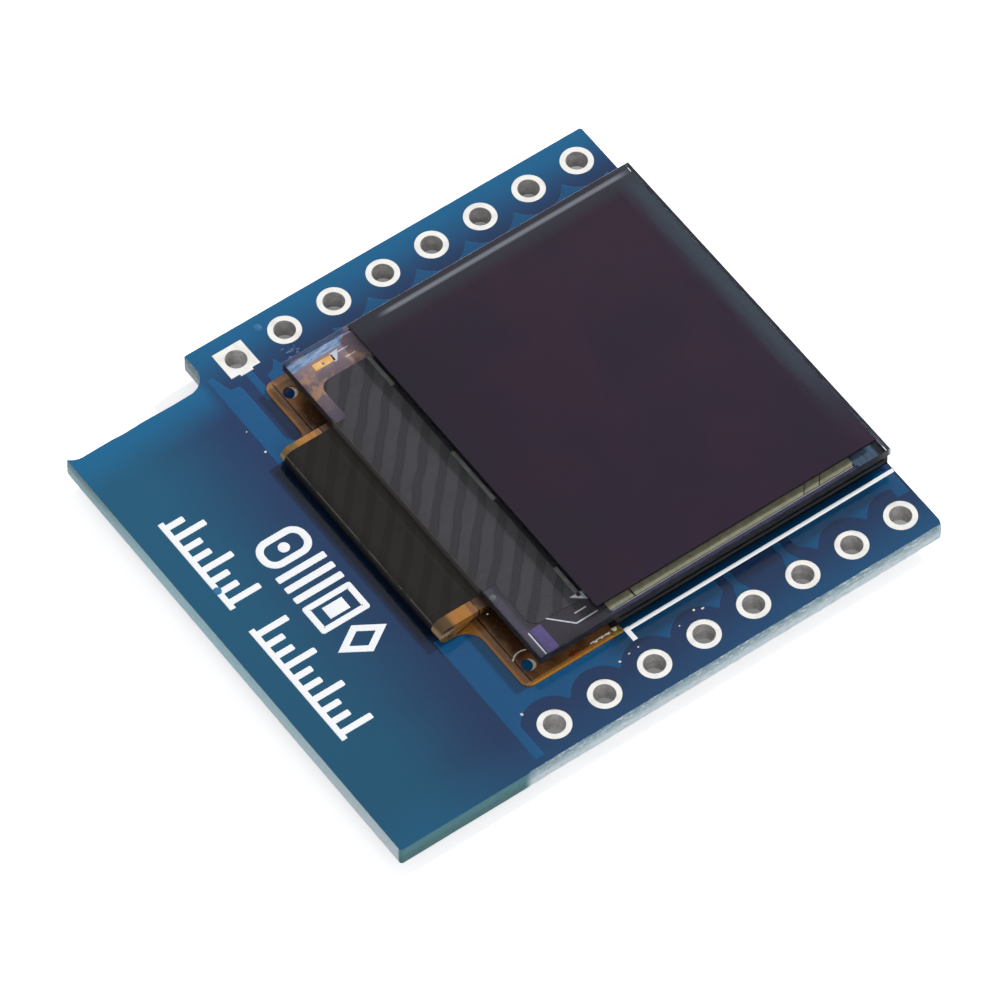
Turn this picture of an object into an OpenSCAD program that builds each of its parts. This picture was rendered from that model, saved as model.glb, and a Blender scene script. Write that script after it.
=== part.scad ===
// Small monochrome display module: a glass display panel stuck face up on a narrow board,
// with its flexible circuit folded under it, and a row of plated pin holes along each long edge.
// Frame: origin under the middle of the board, +X along the pin rows towards the display,
// +Y towards the row with the square pad, +Z up out of the display. Millimetres.

/* [Board] */
// Length of the board, along the pin rows
board_l = 27.7; // [23:0.1:40]
// Width of the board, across the pin rows
board_w = 25.6; // [21:0.1:40]
// Thickness of the board
board_t = 1.0; // [0.6:0.1:2]
// Radius of the board's outer corners
board_corner_r = 0.15; // [0.05:0.05:0.5]
// Depth of the notch at the end of the square pad's edge
notch_d = 1.77; // [1.2:0.01:2.2]
// Distance from the notch's side wall to the first pin hole
notch_to_pin = 1.69; // [1.4:0.01:2.5]
// Radius of the cutter that milled the notch
notch_cutter_r = 0.9; // [0.4:0.1:1.1]
// How far inside the board's end the cutter's first centre lies
notch_start = 0.65; // [0:0.05:0.85]

/* [Pin holes] */
// Pin holes in each row
pin_count = 8; // [4:1:9]
// Spacing of the pin holes along a row
pin_pitch = 2.54; // [2.1:0.01:2.6]
// Distance from the last hole's centre to the board's display end
pin_inset_x = 1.21; // [1:0.01:3]
// Distance from a row's centre line to the board's long edge
pin_inset_y = 1.37; // [1:0.01:2]
// Radius of a plated hole
hole_r = 0.475; // [0.3:0.005:0.6]
// Thickness of the plating in a hole
plating_t = 0.035; // [0.02:0.005:0.1]
// Diameter of a round pad, and side of the square one
pad_d = 1.5; // [1.4:0.05:1.8]
// Thickness of a tinned pad
pad_t = 0.04; // [0.02:0.01:0.1]
// Width of the square pad's short neck
neck_pad_w = 0.66; // [0.3:0.01:0.9]
// Length of the square pad's short neck
neck_pad_l = 0.12; // [0.05:0.01:0.3]

/* [Display panel] */
// Length of the front glass, along the pin rows
panel_l = 18.0; // [15:0.1:21.6]
// Distance from the front glass to the board's display end
panel_inset = 0.07; // [0:0.01:1]
// Distance from the front glass to a row's centre line
panel_to_row = 2.18; // [1.6:0.01:3]
// Sideways offset of the panel on the board
panel_y = 0.05; // [-0.2:0.01:0.2]
// Thickness of the front glass
glass_t = 0.44; // [0.3:0.01:0.7]
// Length of the rear cap, which leaves the front glass's ledge free
cap_l = 14.25; // [12:0.05:14.4]
// Thickness of the rear cap
cap_t = 0.66; // [0.5:0.01:1]
// How far the rear cap stands back from the front glass's edges
cap_step = 0.08; // [0.02:0.01:0.3]
// Width of the rear cap's rim round its hollow
cap_rim = 1.2; // [0.8:0.05:1.6]
// Depth of the rear cap's hollow
cap_hollow_d = 0.3; // [0.2:0.01:0.4]
// Thickness of the glue between cap and front glass
seal_t = 0.02; // [0.01:0.005:0.05]
// Width of the glue between cap and front glass
seal_w = 0.9; // [0.5:0.05:1.1]
// Distance from the lit area to the front glass's sides
active_inset_y = 2.54; // [2.2:0.01:4]
// Distance from the lit area to the cap's ends
active_inset_x = 2.1; // [1.8:0.01:4]
// Thickness of the light-emitting layers
emissive_t = 0.025; // [0.01:0.005:0.05]
// Thickness of the drying sheet in the hollow
desiccant_t = 0.15; // [0.1:0.01:0.18]
// Gap round the drying sheet
desiccant_gap = 0.8; // [0.3:0.1:1.5]
// Thickness of the polarising film
polarizer_t = 0.16; // [0.1:0.01:0.25]
// How far the polarising film reaches past the cap over the ledge
polarizer_over = 0.35; // [0.1:0.05:1]
// Distance from the polarising film to the front glass's display end
polarizer_inset_x = 0.28; // [0.1:0.01:0.6]
// Distance from the polarising film to the side without the square pad
polarizer_inset_low = 0.67; // [0.1:0.01:1]
// Distance from the polarising film to the side with the square pad
polarizer_inset_high = 0.13; // [0.1:0.01:1]

/* [Flexible circuit] */
// Thickness of the flexible circuit
flex_t = 0.1; // [0.06:0.01:0.12]
// Thickness of the black cover film and of the bond to the glass
film_t = 0.02; // [0.01:0.005:0.04]
// Distance from the bend's axis to the front glass's edge
bend_reach = 2.02; // [1.7:0.01:3]
// Distance from the circuit's head to the front glass's edge
head_inset = 0.77; // [0.4:0.01:1]
// Gap between the circuit's head and the cap
head_gap = 0.1; // [0.05:0.01:0.3]
// Distance from the head's ends to the front glass's sides
head_inset_y = 1.65; // [1:0.05:2]
// Radius of the head's corners
head_corner_r = 0.5; // [0.1:0.1:0.8]
// Radius where the head meets the neck
head_fillet_r = 0.4; // [0.1:0.1:0.6]
// How far the neck stands in from the head's end, on the -Y side
neck_in_low = 2.025; // [1:0.005:4]
// How far the neck stands in from the head's end, on the +Y side
neck_in_high = 1.725; // [1:0.005:4]
// Bare margin of the neck beside the black cover film, on the -Y side
cover_margin_low = 0.625; // [0.1:0.005:1.5]
// Bare margin of the neck beside the black cover film, on the +Y side
cover_margin_high = 0.325; // [0.1:0.005:1.5]
// How far the cover film wraps round the bend, in degrees
cover_wrap = 125; // [60:5:140]
// How far the cover film stops short of the head's contacts
cover_short = 0.35; // [0.2:0.05:0.6]
// How far the tail starts outside the front glass's edge
tail_out = 0.88; // [0.5:0.01:1]
// Length of the tail, along the pin rows
tail_l = 4.95; // [4:0.05:6]
// How far the tail reaches past the front glass's sides
tail_over = 0.21; // [-0.5:0.01:0.4]
// Radius of the tail's corners
tail_corner_r = 0.45; // [0.1:0.05:0.8]
// Radius where the neck meets the tail
tail_fillet_r = 0.9; // [0.2:0.1:0.9]
// Radius of the two locating holes in the tail
locator_r = 0.33; // [0.2:0.01:0.5]
// Distance from a locating hole to the tail's outer edge
locator_inset_x = 0.8; // [0.6:0.01:1]
// Distance from a locating hole to the tail's end
locator_inset_y = 0.94; // [0.7:0.01:1.2]
// Spacing of the soldered contacts
contact_pitch = 0.62; // [0.5:0.01:1]
// Width of a soldered contact
contact_w = 0.34; // [0.2:0.01:0.36]
// Length of a solder joint beyond the tail
contact_l = 0.6; // [0.3:0.05:0.8]
// Distance from the outer contacts to the tail's ends
contact_end = 0.9; // [0.5:0.1:2]

/* [Driver and pads] */
// Length of the driver chip, across the pin rows
chip_l = 6.8; // [4:0.1:9]
// Width of the driver chip
chip_w = 1.2; // [0.8:0.1:1.6]
// Thickness of the driver chip
chip_t = 0.25; // [0.15:0.01:0.3]
// Width of the resin bead round the driver chip
bead_w = 0.25; // [0.1:0.05:0.5]
// Height of the resin bead
bead_h = 0.12; // [0.05:0.01:0.15]
// Height of the sticky pad that holds the panel to the board
pad_gap = 0.22; // [0.18:0.01:0.5]
// Distance from the sticky pad to the cap's sides
sticky_inset = 0.6; // [0.2:0.1:2]
// Gap between the solder joints and the sticky pad
sticky_gap = 0.5; // [0.2:0.1:2]

/* [Parts under the board] */
// Length of a chip capacitor or resistor
part_l = 1.6; // [1.2:0.1:1.9]
// Width of a chip capacitor or resistor
part_w = 0.8; // [0.5:0.1:1]
// Height of a chip capacitor
capacitor_h = 0.8; // [0.6:0.05:1]
// Height of a chip resistor
resistor_h = 0.45; // [0.3:0.05:0.55]
// Length of a metal end cap
end_l = 0.3; // [0.2:0.05:0.5]
// How far the end caps stand proud of the body
end_proud = 0.01; // [0.005:0.005:0.03]
// Capacitors in each of the two rows
capacitors_in_row = 4; // [2:1:4]
// Spacing of the capacitors along a row
capacitor_pitch = 4.2; // [3.4:0.1:4.2]
// Distance from a capacitor row to a pin row
capacitor_to_row = 3.6; // [2.5:0.1:4]
// Number of resistors
resistor_count = 4; // [1:1:4]
// Spacing of the resistors
resistor_pitch = 2.6; // [1.6:0.1:2.8]
// How far a solder pad reaches past a part's end
land_out = 0.35; // [0.2:0.05:0.5]
// How far a solder pad reaches under a part's end
land_in = 0.35; // [0.2:0.05:0.5]
// How much wider a solder pad is than its part
land_wider = 0.1; // [0:0.05:0.3]
// Height of a solder fillet against a part's end
fillet_h = 0.4; // [0.2:0.05:0.45]
// Side of one pad of the address jumper
jumper_w = 0.9; // [0.6:0.1:1.2]
// Gap between the pads of the address jumper
jumper_gap = 0.25; // [0.15:0.05:0.6]
// Pads in the address jumper
jumper_count = 3; // [2:1:3]

/* [Hidden] */
$fn = 48;
cut = 1;              // how far a cutting shape runs past what it cuts

// Heights, from the capacitors' undersides up
board_z0 = capacitor_h + pad_t;
board_z1 = board_z0 + board_t;
cap_z0 = board_z1 + pad_gap;
cap_z1 = cap_z0 + cap_t;
glass_z0 = cap_z1 + seal_t;
glass_z1 = glass_z0 + glass_t;
head_z1 = glass_z0 - film_t;
head_z0 = head_z1 - flex_t;

// Places along the board
board_x0 = -board_l / 2;
board_x1 = board_l / 2;
glass_x1 = board_x1 - panel_inset;
glass_x0 = glass_x1 - panel_l;
cap_x1 = glass_x1 - cap_step;
cap_x0 = cap_x1 - cap_l;
head_x0 = glass_x0 + head_inset;
head_x1 = cap_x0 - head_gap;
cover_x1 = head_x1 - cover_short;
bend_x = glass_x0 - bend_reach;
tail_x0 = glass_x0 - tail_out;
tail_x1 = tail_x0 + tail_l;

// Places across the board
row_y = board_w / 2 - pin_inset_y;
panel_w = 2 * (row_y - panel_to_row);
cap_w = panel_w - 2 * cap_step;
head_w = panel_w - 2 * head_inset_y;
tail_w = panel_w + 2 * tail_over;
head_y0 = panel_y - head_w / 2;
head_y1 = panel_y + head_w / 2;
neck_y0 = head_y0 + neck_in_low;
neck_y1 = head_y1 - neck_in_high;
cover_y0 = neck_y0 + cover_margin_low;
cover_y1 = neck_y1 - cover_margin_high;
capacitor_y = row_y - capacitor_to_row;

// The bend
bend_r = (head_z1 - board_z1) / 2;
bend_z = board_z1 + bend_r;

// Contacts that fit across the tail
contact_count = 1 + floor((tail_w - 2 * contact_end) / contact_pitch);

function pin_x(i) = board_x1 - pin_inset_x - (pin_count - 1 - i) * pin_pitch;
function centred(i, count, pitch) = (i - (count - 1) / 2) * pitch;

// A block between two corners
module block(low, high) {
    translate(low) cube(high - low);
}

// A rectangle between two corners, with every corner rounded
module rounded_rectangle(low, high, r) {
    translate([low[0] + r, low[1]]) square([high[0] - low[0] - 2 * r, high[1] - low[1]]);
    translate([low[0], low[1] + r]) square([high[0] - low[0], high[1] - low[1] - 2 * r]);
    for (x = [low[0] + r, high[0] - r], y = [low[1] + r, high[1] - r]) {
        translate([x, y]) circle(r);
    }
}

// The web that rounds an inside corner: it fills from the corner towards (side_x, side_y)
module corner_web(corner, r, side_x, side_y) {
    translate(corner) difference() {
        translate([side_x < 0 ? -r : 0, side_y < 0 ? -r : 0]) square(r);
        translate([side_x * r, side_y * r]) circle(r);
    }
}

// Everything at the pin holes' places, for both rows
module at_pin_holes() {
    for (i = [0 : pin_count - 1], side = [-1, 1]) {
        translate([pin_x(i), side * row_y]) children();
    }
}

// The notch that a milling cutter leaves: two cutter ends, the floor between them, open above
module notch_outline() {
    floor_y = board_w / 2 - notch_d;
    centre_y = floor_y + notch_cutter_r;
    x0 = board_x0 + notch_start;
    x1 = pin_x(0) - notch_to_pin - notch_cutter_r;
    for (x = [x0, x1]) translate([x, centre_y]) circle(notch_cutter_r);
    translate([x0, floor_y]) square([x1 - x0, notch_d + cut]);
    translate([board_x0 - cut, centre_y]) square([x1 + notch_cutter_r - board_x0 + cut, notch_d + cut]);
}

module printed_board() {
    color([0.11, 0.34, 0.47])
    translate([0, 0, board_z0]) linear_extrude(board_t) difference() {
        rounded_rectangle([board_x0, -board_w / 2], [board_x1, board_w / 2], board_corner_r);
        notch_outline();
        at_pin_holes() circle(hole_r + plating_t);
    }
}

// One plated hole: a tinned pad on each face, joined by the plating through the board
module plated_hole(side, i) {
    square_pad = side > 0 && i == 0;
    color([0.93, 0.93, 0.91])
    translate([pin_x(i), side * row_y, 0]) difference() {
        union() {
            for (z = [board_z0 - pad_t, board_z1]) translate([0, 0, z]) linear_extrude(pad_t) {
                if (square_pad) {
                    square(pad_d, center = true);
                    translate([-neck_pad_w / 2, -pad_d / 2 - neck_pad_l]) square([neck_pad_w, pad_d / 2]);
                } else {
                    circle(d = pad_d);
                }
            }
            translate([0, 0, board_z0]) cylinder(h = board_t, r = hole_r + plating_t);
        }
        translate([0, 0, board_z0 - cut]) cylinder(h = board_t + 2 * cut, r = hole_r);
    }
}

module front_glass() {
    color([0.55, 0.62, 0.66, 0.4])
    block([glass_x0, panel_y - panel_w / 2, glass_z0], [glass_x1, panel_y + panel_w / 2, glass_z1]);
}

// The cap behind the lit area, with a hollow for the drying sheet
module rear_cap() {
    color([0.25, 0.28, 0.3])
    difference() {
        block([cap_x0, panel_y - cap_w / 2, cap_z0], [cap_x1, panel_y + cap_w / 2, cap_z1]);
        block(
            [cap_x0 + cap_rim, panel_y - cap_w / 2 + cap_rim, cap_z1 - cap_hollow_d],
            [cap_x1 - cap_rim, panel_y + cap_w / 2 - cap_rim, cap_z1 + cut]
        );
    }
}

// The line of glue that seals the cap to the front glass
module edge_seal() {
    color([0.6, 0.6, 0.5])
    difference() {
        block([cap_x0, panel_y - cap_w / 2, cap_z1], [cap_x1, panel_y + cap_w / 2, glass_z0]);
        block(
            [cap_x0 + seal_w, panel_y - cap_w / 2 + seal_w, cap_z1 - cut],
            [cap_x1 - seal_w, panel_y + cap_w / 2 - seal_w, glass_z0 + cut]
        );
    }
}

module desiccant_sheet() {
    inset = cap_rim + desiccant_gap;
    z0 = cap_z1 - cap_hollow_d;
    color([0.85, 0.85, 0.82])
    block(
        [cap_x0 + inset, panel_y - cap_w / 2 + inset, z0],
        [cap_x1 - inset, panel_y + cap_w / 2 - inset, z0 + desiccant_t]
    );
}

module emissive_layer() {
    color([0.19, 0.16, 0.2])
    block(
        [cap_x0 + active_inset_x, panel_y - panel_w / 2 + active_inset_y, glass_z0 - emissive_t],
        [cap_x1 - active_inset_x, panel_y + panel_w / 2 - active_inset_y, glass_z0]
    );
}

module polarizer() {
    color([0.2, 0.17, 0.22])
    block(
        [cap_x0 - polarizer_over, panel_y - panel_w / 2 + polarizer_inset_low, glass_z1],
        [glass_x1 - polarizer_inset_x, panel_y + panel_w / 2 - polarizer_inset_high, glass_z1 + polarizer_t]
    );
}

// The head's outline, with the neck up to the bend
module head_outline() {
    rounded_rectangle([head_x0, head_y0], [head_x1, head_y1], head_corner_r);
    translate([head_x1 - head_corner_r, head_y0]) square([head_corner_r, head_w]);
    translate([bend_x, neck_y0]) square([head_x0 + head_corner_r - bend_x, neck_y1 - neck_y0]);
    corner_web([head_x0, neck_y0], head_fillet_r, -1, -1);
    corner_web([head_x0, neck_y1], head_fillet_r, -1, 1);
}

// The tail's outline, with the neck up to the bend
module tail_outline() {
    tail_y0 = panel_y - tail_w / 2;
    tail_y1 = panel_y + tail_w / 2;
    web_r = min(tail_fillet_r, tail_x0 - bend_x);
    difference() {
        union() {
            rounded_rectangle([tail_x0, tail_y0], [tail_x1, tail_y1], tail_corner_r);
            translate([tail_x1 - tail_corner_r, tail_y0]) square([tail_corner_r, tail_w]);
            translate([bend_x, neck_y0]) square([tail_x0 + tail_corner_r - bend_x, neck_y1 - neck_y0]);
            corner_web([tail_x0, neck_y0], web_r, -1, -1);
            corner_web([tail_x0, neck_y1], web_r, -1, 1);
        }
        for (y = [tail_y0 + locator_inset_y, tail_y1 - locator_inset_y]) {
            translate([tail_x0 + locator_inset_x, y]) circle(locator_r);
        }
    }
}

// A strip of a round bend about the bend's axis: it starts at the top and wraps round towards -X
module bend_strip(y0, y1, r_in, r_out, wrap) {
    far = r_out + cut;
    translate([bend_x, y1, bend_z]) rotate([90, 0, 0]) linear_extrude(y1 - y0) difference() {
        circle(r_out);
        circle(r_in);
        translate([0, -far]) square([far, 2 * far]);
        rotate(90 + wrap) translate([-far, 0]) square([2 * far, far]);
    }
}

// The folded circuit: its head under the ledge, the bend, and the tail that lies on the board
module flex_circuit() {
    color([0.55, 0.38, 0.22])
    union() {
        translate([0, 0, head_z0]) linear_extrude(flex_t) head_outline();
        translate([0, 0, board_z1]) linear_extrude(flex_t) tail_outline();
        bend_strip(neck_y0, neck_y1, bend_r - flex_t, bend_r, 180);
    }
}

// The black film over the head, the neck and most of the bend
module flex_cover_film() {
    color([0.17, 0.17, 0.16])
    union() {
        translate([0, 0, head_z1]) linear_extrude(film_t) {
            difference() {
                head_outline();
                translate([cover_x1, -board_w]) square([board_l, 2 * board_w]);
                translate([bend_x - cut, -board_w]) square([head_x0 - head_fillet_r - bend_x + cut, 2 * board_w]);
            }
            translate([bend_x, cover_y0]) square([head_x0 + head_corner_r - bend_x, cover_y1 - cover_y0]);
        }
        bend_strip(cover_y0, cover_y1, bend_r, bend_r + film_t, cover_wrap);
    }
}

// The conductive bond between the head's contacts and the glass
module bond_film() {
    color([0.6, 0.55, 0.4])
    block([cover_x1, head_y0, head_z1], [head_x1, head_y1, glass_z0]);
}

module driver_chip() {
    x = (head_x0 + head_x1) / 2;
    color([0.3, 0.3, 0.33])
    block([x - chip_w / 2, panel_y - chip_l / 2, head_z0 - chip_t], [x + chip_w / 2, panel_y + chip_l / 2, head_z0]);
}

// The bead of resin round the driver chip
module chip_resin() {
    x = (head_x0 + head_x1) / 2;
    color([0.1, 0.1, 0.1])
    translate([0, 0, head_z0 - bead_h]) linear_extrude(bead_h) difference() {
        rounded_rectangle(
            [x - chip_w / 2 - bead_w, panel_y - chip_l / 2 - bead_w],
            [x + chip_w / 2 + bead_w, panel_y + chip_l / 2 + bead_w],
            bead_w
        );
        translate([x - chip_w / 2, panel_y - chip_l / 2]) square([chip_w, chip_l]);
    }
}

// A sloping fillet that runs down along +X from a wall at x = 0, and is centred on y = 0
module solder_wedge(length, width, height, toe) {
    translate([0, width / 2, 0]) rotate([90, 0, 0]) linear_extrude(width) {
        polygon([[0, 0], [length, 0], [length, toe], [0, height]]);
    }
}

// The solder along the tail's contacts
module tail_solder_joints() {
    color([0.8, 0.8, 0.8])
    for (i = [0 : contact_count - 1]) {
        translate([tail_x1, panel_y + centred(i, contact_count, contact_pitch), board_z1]) {
            solder_wedge(contact_l, contact_w, 1.4 * flex_t, 0.3 * flex_t);
        }
    }
}

// The double-sided pad between the board and the cap
module sticky_pad() {
    color([0.2, 0.2, 0.2])
    block(
        [tail_x1 + contact_l + sticky_gap, panel_y - cap_w / 2 + sticky_inset, board_z1],
        [cap_x1 - sticky_inset, panel_y + cap_w / 2 - sticky_inset, cap_z0]
    );
}

// A chip part under the board, centred, with its length along X and its top at z = 0
module chip_part(height) {
    translate([-part_l / 2 + end_proud, -part_w / 2 + end_proud, end_proud - height]) {
        cube([part_l - 2 * end_proud, part_w - 2 * end_proud, height - 2 * end_proud]);
    }
    for (x = [-part_l / 2, part_l / 2 - end_l]) {
        translate([x, -part_w / 2, -height]) cube([end_l, part_w, height]);
    }
}

// The two solder joints of one chip part
module chip_part_joints(height) {
    width = part_w + land_wider;
    for (side = [0, 180]) rotate([0, 0, side]) {
        translate([part_l / 2 - land_in, -width / 2, 0]) cube([land_in + land_out, width, pad_t]);
        translate([part_l / 2, 0, 0]) mirror([0, 0, 1]) {
            solder_wedge(land_out, part_w, min(fillet_h, height), pad_t);
        }
    }
}

// Capacitors count along one row and then along the other
module at_capacitor(i) {
    column = i % capacitors_in_row;
    side = i < capacitors_in_row ? 1 : -1;
    translate([pin_x(1) + column * capacitor_pitch, side * capacitor_y, board_z0 - pad_t]) children();
}

module at_resistor(i) {
    translate([pin_x(0), centred(i, resistor_count, resistor_pitch), board_z0 - pad_t]) children();
}

module capacitor(i) {
    color([0.62, 0.52, 0.4])
    at_capacitor(i) chip_part(capacitor_h);
}

module resistor(i) {
    color([0.12, 0.12, 0.13])
    at_resistor(i) chip_part(resistor_h);
}

module part_solder_joints() {
    color([0.8, 0.8, 0.8])
    union() {
        for (i = [0 : 2 * capacitors_in_row - 1]) at_capacitor(i) chip_part_joints(capacitor_h);
        for (i = [0 : resistor_count - 1]) at_resistor(i) chip_part_joints(resistor_h);
    }
}

// The bare pads that set the module's address
module jumper_pads() {
    color([0.8, 0.8, 0.8])
    for (i = [0 : jumper_count - 1]) {
        y = centred(i, jumper_count, jumper_w + jumper_gap);
        translate([pin_x(2) - jumper_w / 2, y - jumper_w / 2, board_z0 - pad_t]) cube([jumper_w, jumper_w, pad_t]);
    }
}

printed_board();
front_glass();
rear_cap();
edge_seal();
desiccant_sheet();
emissive_layer();
polarizer();
flex_circuit();
flex_cover_film();
bond_film();
driver_chip();
chip_resin();
tail_solder_joints();
sticky_pad();
part_solder_joints();
jumper_pads();
for (i = [0 : pin_count - 1]) {
    plated_hole(1, i);
    plated_hole(-1, i);
}
for (i = [0 : 2 * capacitors_in_row - 1]) {
    capacitor(i);
}
for (i = [0 : resistor_count - 1]) {
    resistor(i);
}
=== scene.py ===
"""The looks of a small display module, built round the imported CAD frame.

Every size below is in millimetres, in the frame's own axes: +X along the pin rows towards the
display, +Y towards the row with the square pad, +Z up out of the display, z = 0 where it stands.
"""

import math

import bpy
import numpy as np
from mathutils import Matrix, Vector, noise
from mathutils.geometry import delaunay_2d_cdt

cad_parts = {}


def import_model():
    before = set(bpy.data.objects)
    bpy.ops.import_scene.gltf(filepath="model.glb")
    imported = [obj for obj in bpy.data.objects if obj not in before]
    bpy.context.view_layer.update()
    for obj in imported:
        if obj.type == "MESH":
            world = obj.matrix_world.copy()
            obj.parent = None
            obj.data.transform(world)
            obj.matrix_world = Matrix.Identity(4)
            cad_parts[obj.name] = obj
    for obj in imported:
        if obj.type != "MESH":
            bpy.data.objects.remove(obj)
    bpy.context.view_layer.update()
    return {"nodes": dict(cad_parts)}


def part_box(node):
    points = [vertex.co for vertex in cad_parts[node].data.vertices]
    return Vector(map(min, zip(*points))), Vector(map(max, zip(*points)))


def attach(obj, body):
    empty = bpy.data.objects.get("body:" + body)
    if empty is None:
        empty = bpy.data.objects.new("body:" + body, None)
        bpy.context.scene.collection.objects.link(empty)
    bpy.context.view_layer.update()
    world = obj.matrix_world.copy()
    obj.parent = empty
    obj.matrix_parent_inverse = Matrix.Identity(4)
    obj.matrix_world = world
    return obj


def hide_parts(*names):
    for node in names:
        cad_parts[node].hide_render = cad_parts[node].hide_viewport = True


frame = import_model()

MM = 0.001


# ---------------------------------------------------------------- sizes taken from the frame

def corners(node):
    """The lowest and highest corners of a CAD node, in millimetres."""
    low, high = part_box(node)
    return np.array(low) / MM, np.array(high) / MM


def corners_by_name(start):
    """The corners of each CAD node whose name begins so."""
    return {name: corners(name) for name in sorted(frame["nodes"]) if name.startswith(start)}


BOARD_LOW, BOARD_HIGH = corners("printed_board")
GLASS_LOW, GLASS_HIGH = corners("front_glass")
CAP_LOW, CAP_HIGH = corners("rear_cap")
FILM_LOW, FILM_HIGH = corners("polarizer")
CAPACITORS = corners_by_name("capacitor_")
RESISTORS = corners_by_name("resistor_")
CHIPS = [*CAPACITORS.values(), *RESISTORS.values()]
PADS = {name: sum(box) / 2 for name, box in corners_by_name("plated_hole_").items()}
PIN_X = [place[0] for name, place in PADS.items() if name.startswith("plated_hole_b")]
ROW_Y = -PADS["plated_hole_b2"][1]

# ---------------------------------------------------------------- sizes that repeat the part's source

HOLE_R = 0.475
PLATING = 0.035
PAD_D = 1.5
PAD_T = 0.04
NECK_PAD_W = 0.66
NECK_PAD_L = 0.12
CORNER_R = 0.15
NOTCH_FLOOR = BOARD_HIGH[1] - 1.77
NOTCH_R = 0.9
NOTCH_SIDE = PIN_X[0] - 1.69
NOTCH_START = BOARD_LOW[0] + 0.65

FLEX_T = 0.1
COVER_T = 0.02
BEND_X = GLASS_LOW[0] - 2.02
BEND_R = 0.44
BEND_Z = BOARD_HIGH[2] + BEND_R
BEND_MID_R = BEND_R - FLEX_T / 2
BEND_LENGTH = math.pi * BEND_MID_R
COVER_WRAP = math.radians(125)
STRIPE_PITCH = 1.25
HEAD = (GLASS_LOW[0] + 0.77, GLASS_LOW[1] + 1.65, CAP_LOW[0] - 0.1, GLASS_HIGH[1] - 1.65)
HEAD_CORNER_R = 0.5
HEAD_FILLET_R = 0.4
NECK_Y0 = HEAD[1] + 2.025
NECK_Y1 = HEAD[3] - 1.725
COVER_Y0 = NECK_Y0 + 0.625
COVER_Y1 = NECK_Y1 - 0.325
COVER_X1 = HEAD[2] - 0.35
TAIL = (GLASS_LOW[0] - 0.88, GLASS_LOW[1] - 0.21, GLASS_LOW[0] + 4.07, GLASS_HIGH[1] + 0.21)
TAIL_CORNER_R = 0.45
TAIL_FILLET_R = 0.9
LOCATOR_R = 0.33
LOCATOR_X = TAIL[0] + 0.8
LOCATOR_YS = (TAIL[1] + 0.94, TAIL[3] - 0.94)
CONTACT_COUNT = 28
CONTACT_PITCH = 0.62
CONTACT_W = 0.34
CONTACT_L = 0.6

PART_ENDS = 0.3
LAND_OUT = 0.35
LAND_IN = 0.35
LAND_WIDER = 0.1
FILLET_H = 0.4
JUMPER_SIDE = 0.9
JUMPER_COUNT = 3
GLAZE_T = 0.06
FAR = 20


# ---------------------------------------------------------------- flat shapes

class Shape:
    """A flat region: the closed loops that may bound it, and a test of which points lie in it."""

    def __init__(self, loops, inside):
        self.loops = loops
        self.inside = inside

    def __or__(self, other):
        return Shape(self.loops + other.loops, lambda p: self.inside(p) | other.inside(p))

    def __sub__(self, other):
        return Shape(self.loops + other.loops, lambda p: self.inside(p) & ~other.inside(p))

    def __and__(self, other):
        return Shape(self.loops + other.loops, lambda p: self.inside(p) & other.inside(p))


def arc(x, y, r, start, end, steps=12):
    """Points on an arc about (x, y), between two angles in degrees."""
    turns = np.radians(np.linspace(start, end, steps + 1))
    return [(x + r * math.cos(t), y + r * math.sin(t)) for t in turns]


def circle(x, y, r, steps=64):
    """Points round a circle."""
    return arc(x, y, r, 0, 360, steps)[:-1]


def rounded(x0, y0, x1, y1, r, steps=8):
    """A rectangle's outline with round corners."""
    return (
        arc(x1 - r, y0 + r, r, -90, 0, steps)
        + arc(x1 - r, y1 - r, r, 0, 90, steps)
        + arc(x0 + r, y1 - r, r, 90, 180, steps)
        + arc(x0 + r, y0 + r, r, 180, 270, steps)
    )


def centred(x, y, width, height):
    """The sides of a rectangle about a point."""
    return x - width / 2, y - height / 2, x + width / 2, y + height / 2


def around(box, more_x, more_y):
    """The sides of a rectangle that goes past a node's box by some margins."""
    low, high = box
    return low[0] - more_x, low[1] - more_y, high[0] + more_x, high[1] + more_y


def crossings(loop, points):
    """Which points lie inside a closed loop."""
    a = np.asarray(loop, float)
    b = np.roll(a, -1, 0)
    rise = b[:, 1] - a[:, 1]
    rise[rise == 0] = 1e-12
    x, y = points[:, 0, None], points[:, 1, None]
    spans = (a[:, 1] > y) != (b[:, 1] > y)
    left_of = x < a[:, 0] + (y - a[:, 1]) * (b[:, 0] - a[:, 0]) / rise
    return (spans & left_of).sum(1) % 2 == 1


def between_loops(loops):
    """A test of which points lie inside an odd number of loops."""
    return lambda points: sum(crossings(loop, points).astype(int) for loop in loops) % 2 == 1


def polygon(points):
    """The region inside a closed outline."""
    loop = np.asarray(points, float)
    return Shape([loop], lambda p: crossings(loop, p))


def disc(x, y, r, steps=64):
    """The region inside a circle."""
    return polygon(circle(x, y, r, steps))


def block(x0, y0, x1, y1, r=0.0):
    """The region inside a rectangle, with round corners if it has a radius."""
    return polygon(rounded(x0, y0, x1, y1, r) if r else [(x0, y0), (x1, y0), (x1, y1), (x0, y1)])


def union(shapes):
    """All the shapes as one region."""
    shapes = list(shapes)
    loops = [loop for shape in shapes for loop in shape.loops]
    return Shape(loops, lambda p: np.any([shape.inside(p) for shape in shapes], axis=0))


def stroke(points, width):
    """A line of even width through some points, with round joints."""
    parts = []
    for (ax, ay), (bx, by) in zip(points, points[1:]):
        turn = math.degrees(math.atan2(by - ay, bx - ax))
        start = arc(ax, ay, width / 2, turn + 90, turn + 270, 6)
        parts.append(polygon(start + arc(bx, by, width / 2, turn - 90, turn + 90, 6)))
    return union(parts)


def ring(outline, width):
    """A line of even width inside a closed outline."""
    return polygon(outline) - polygon(inset(outline, width))


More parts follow.
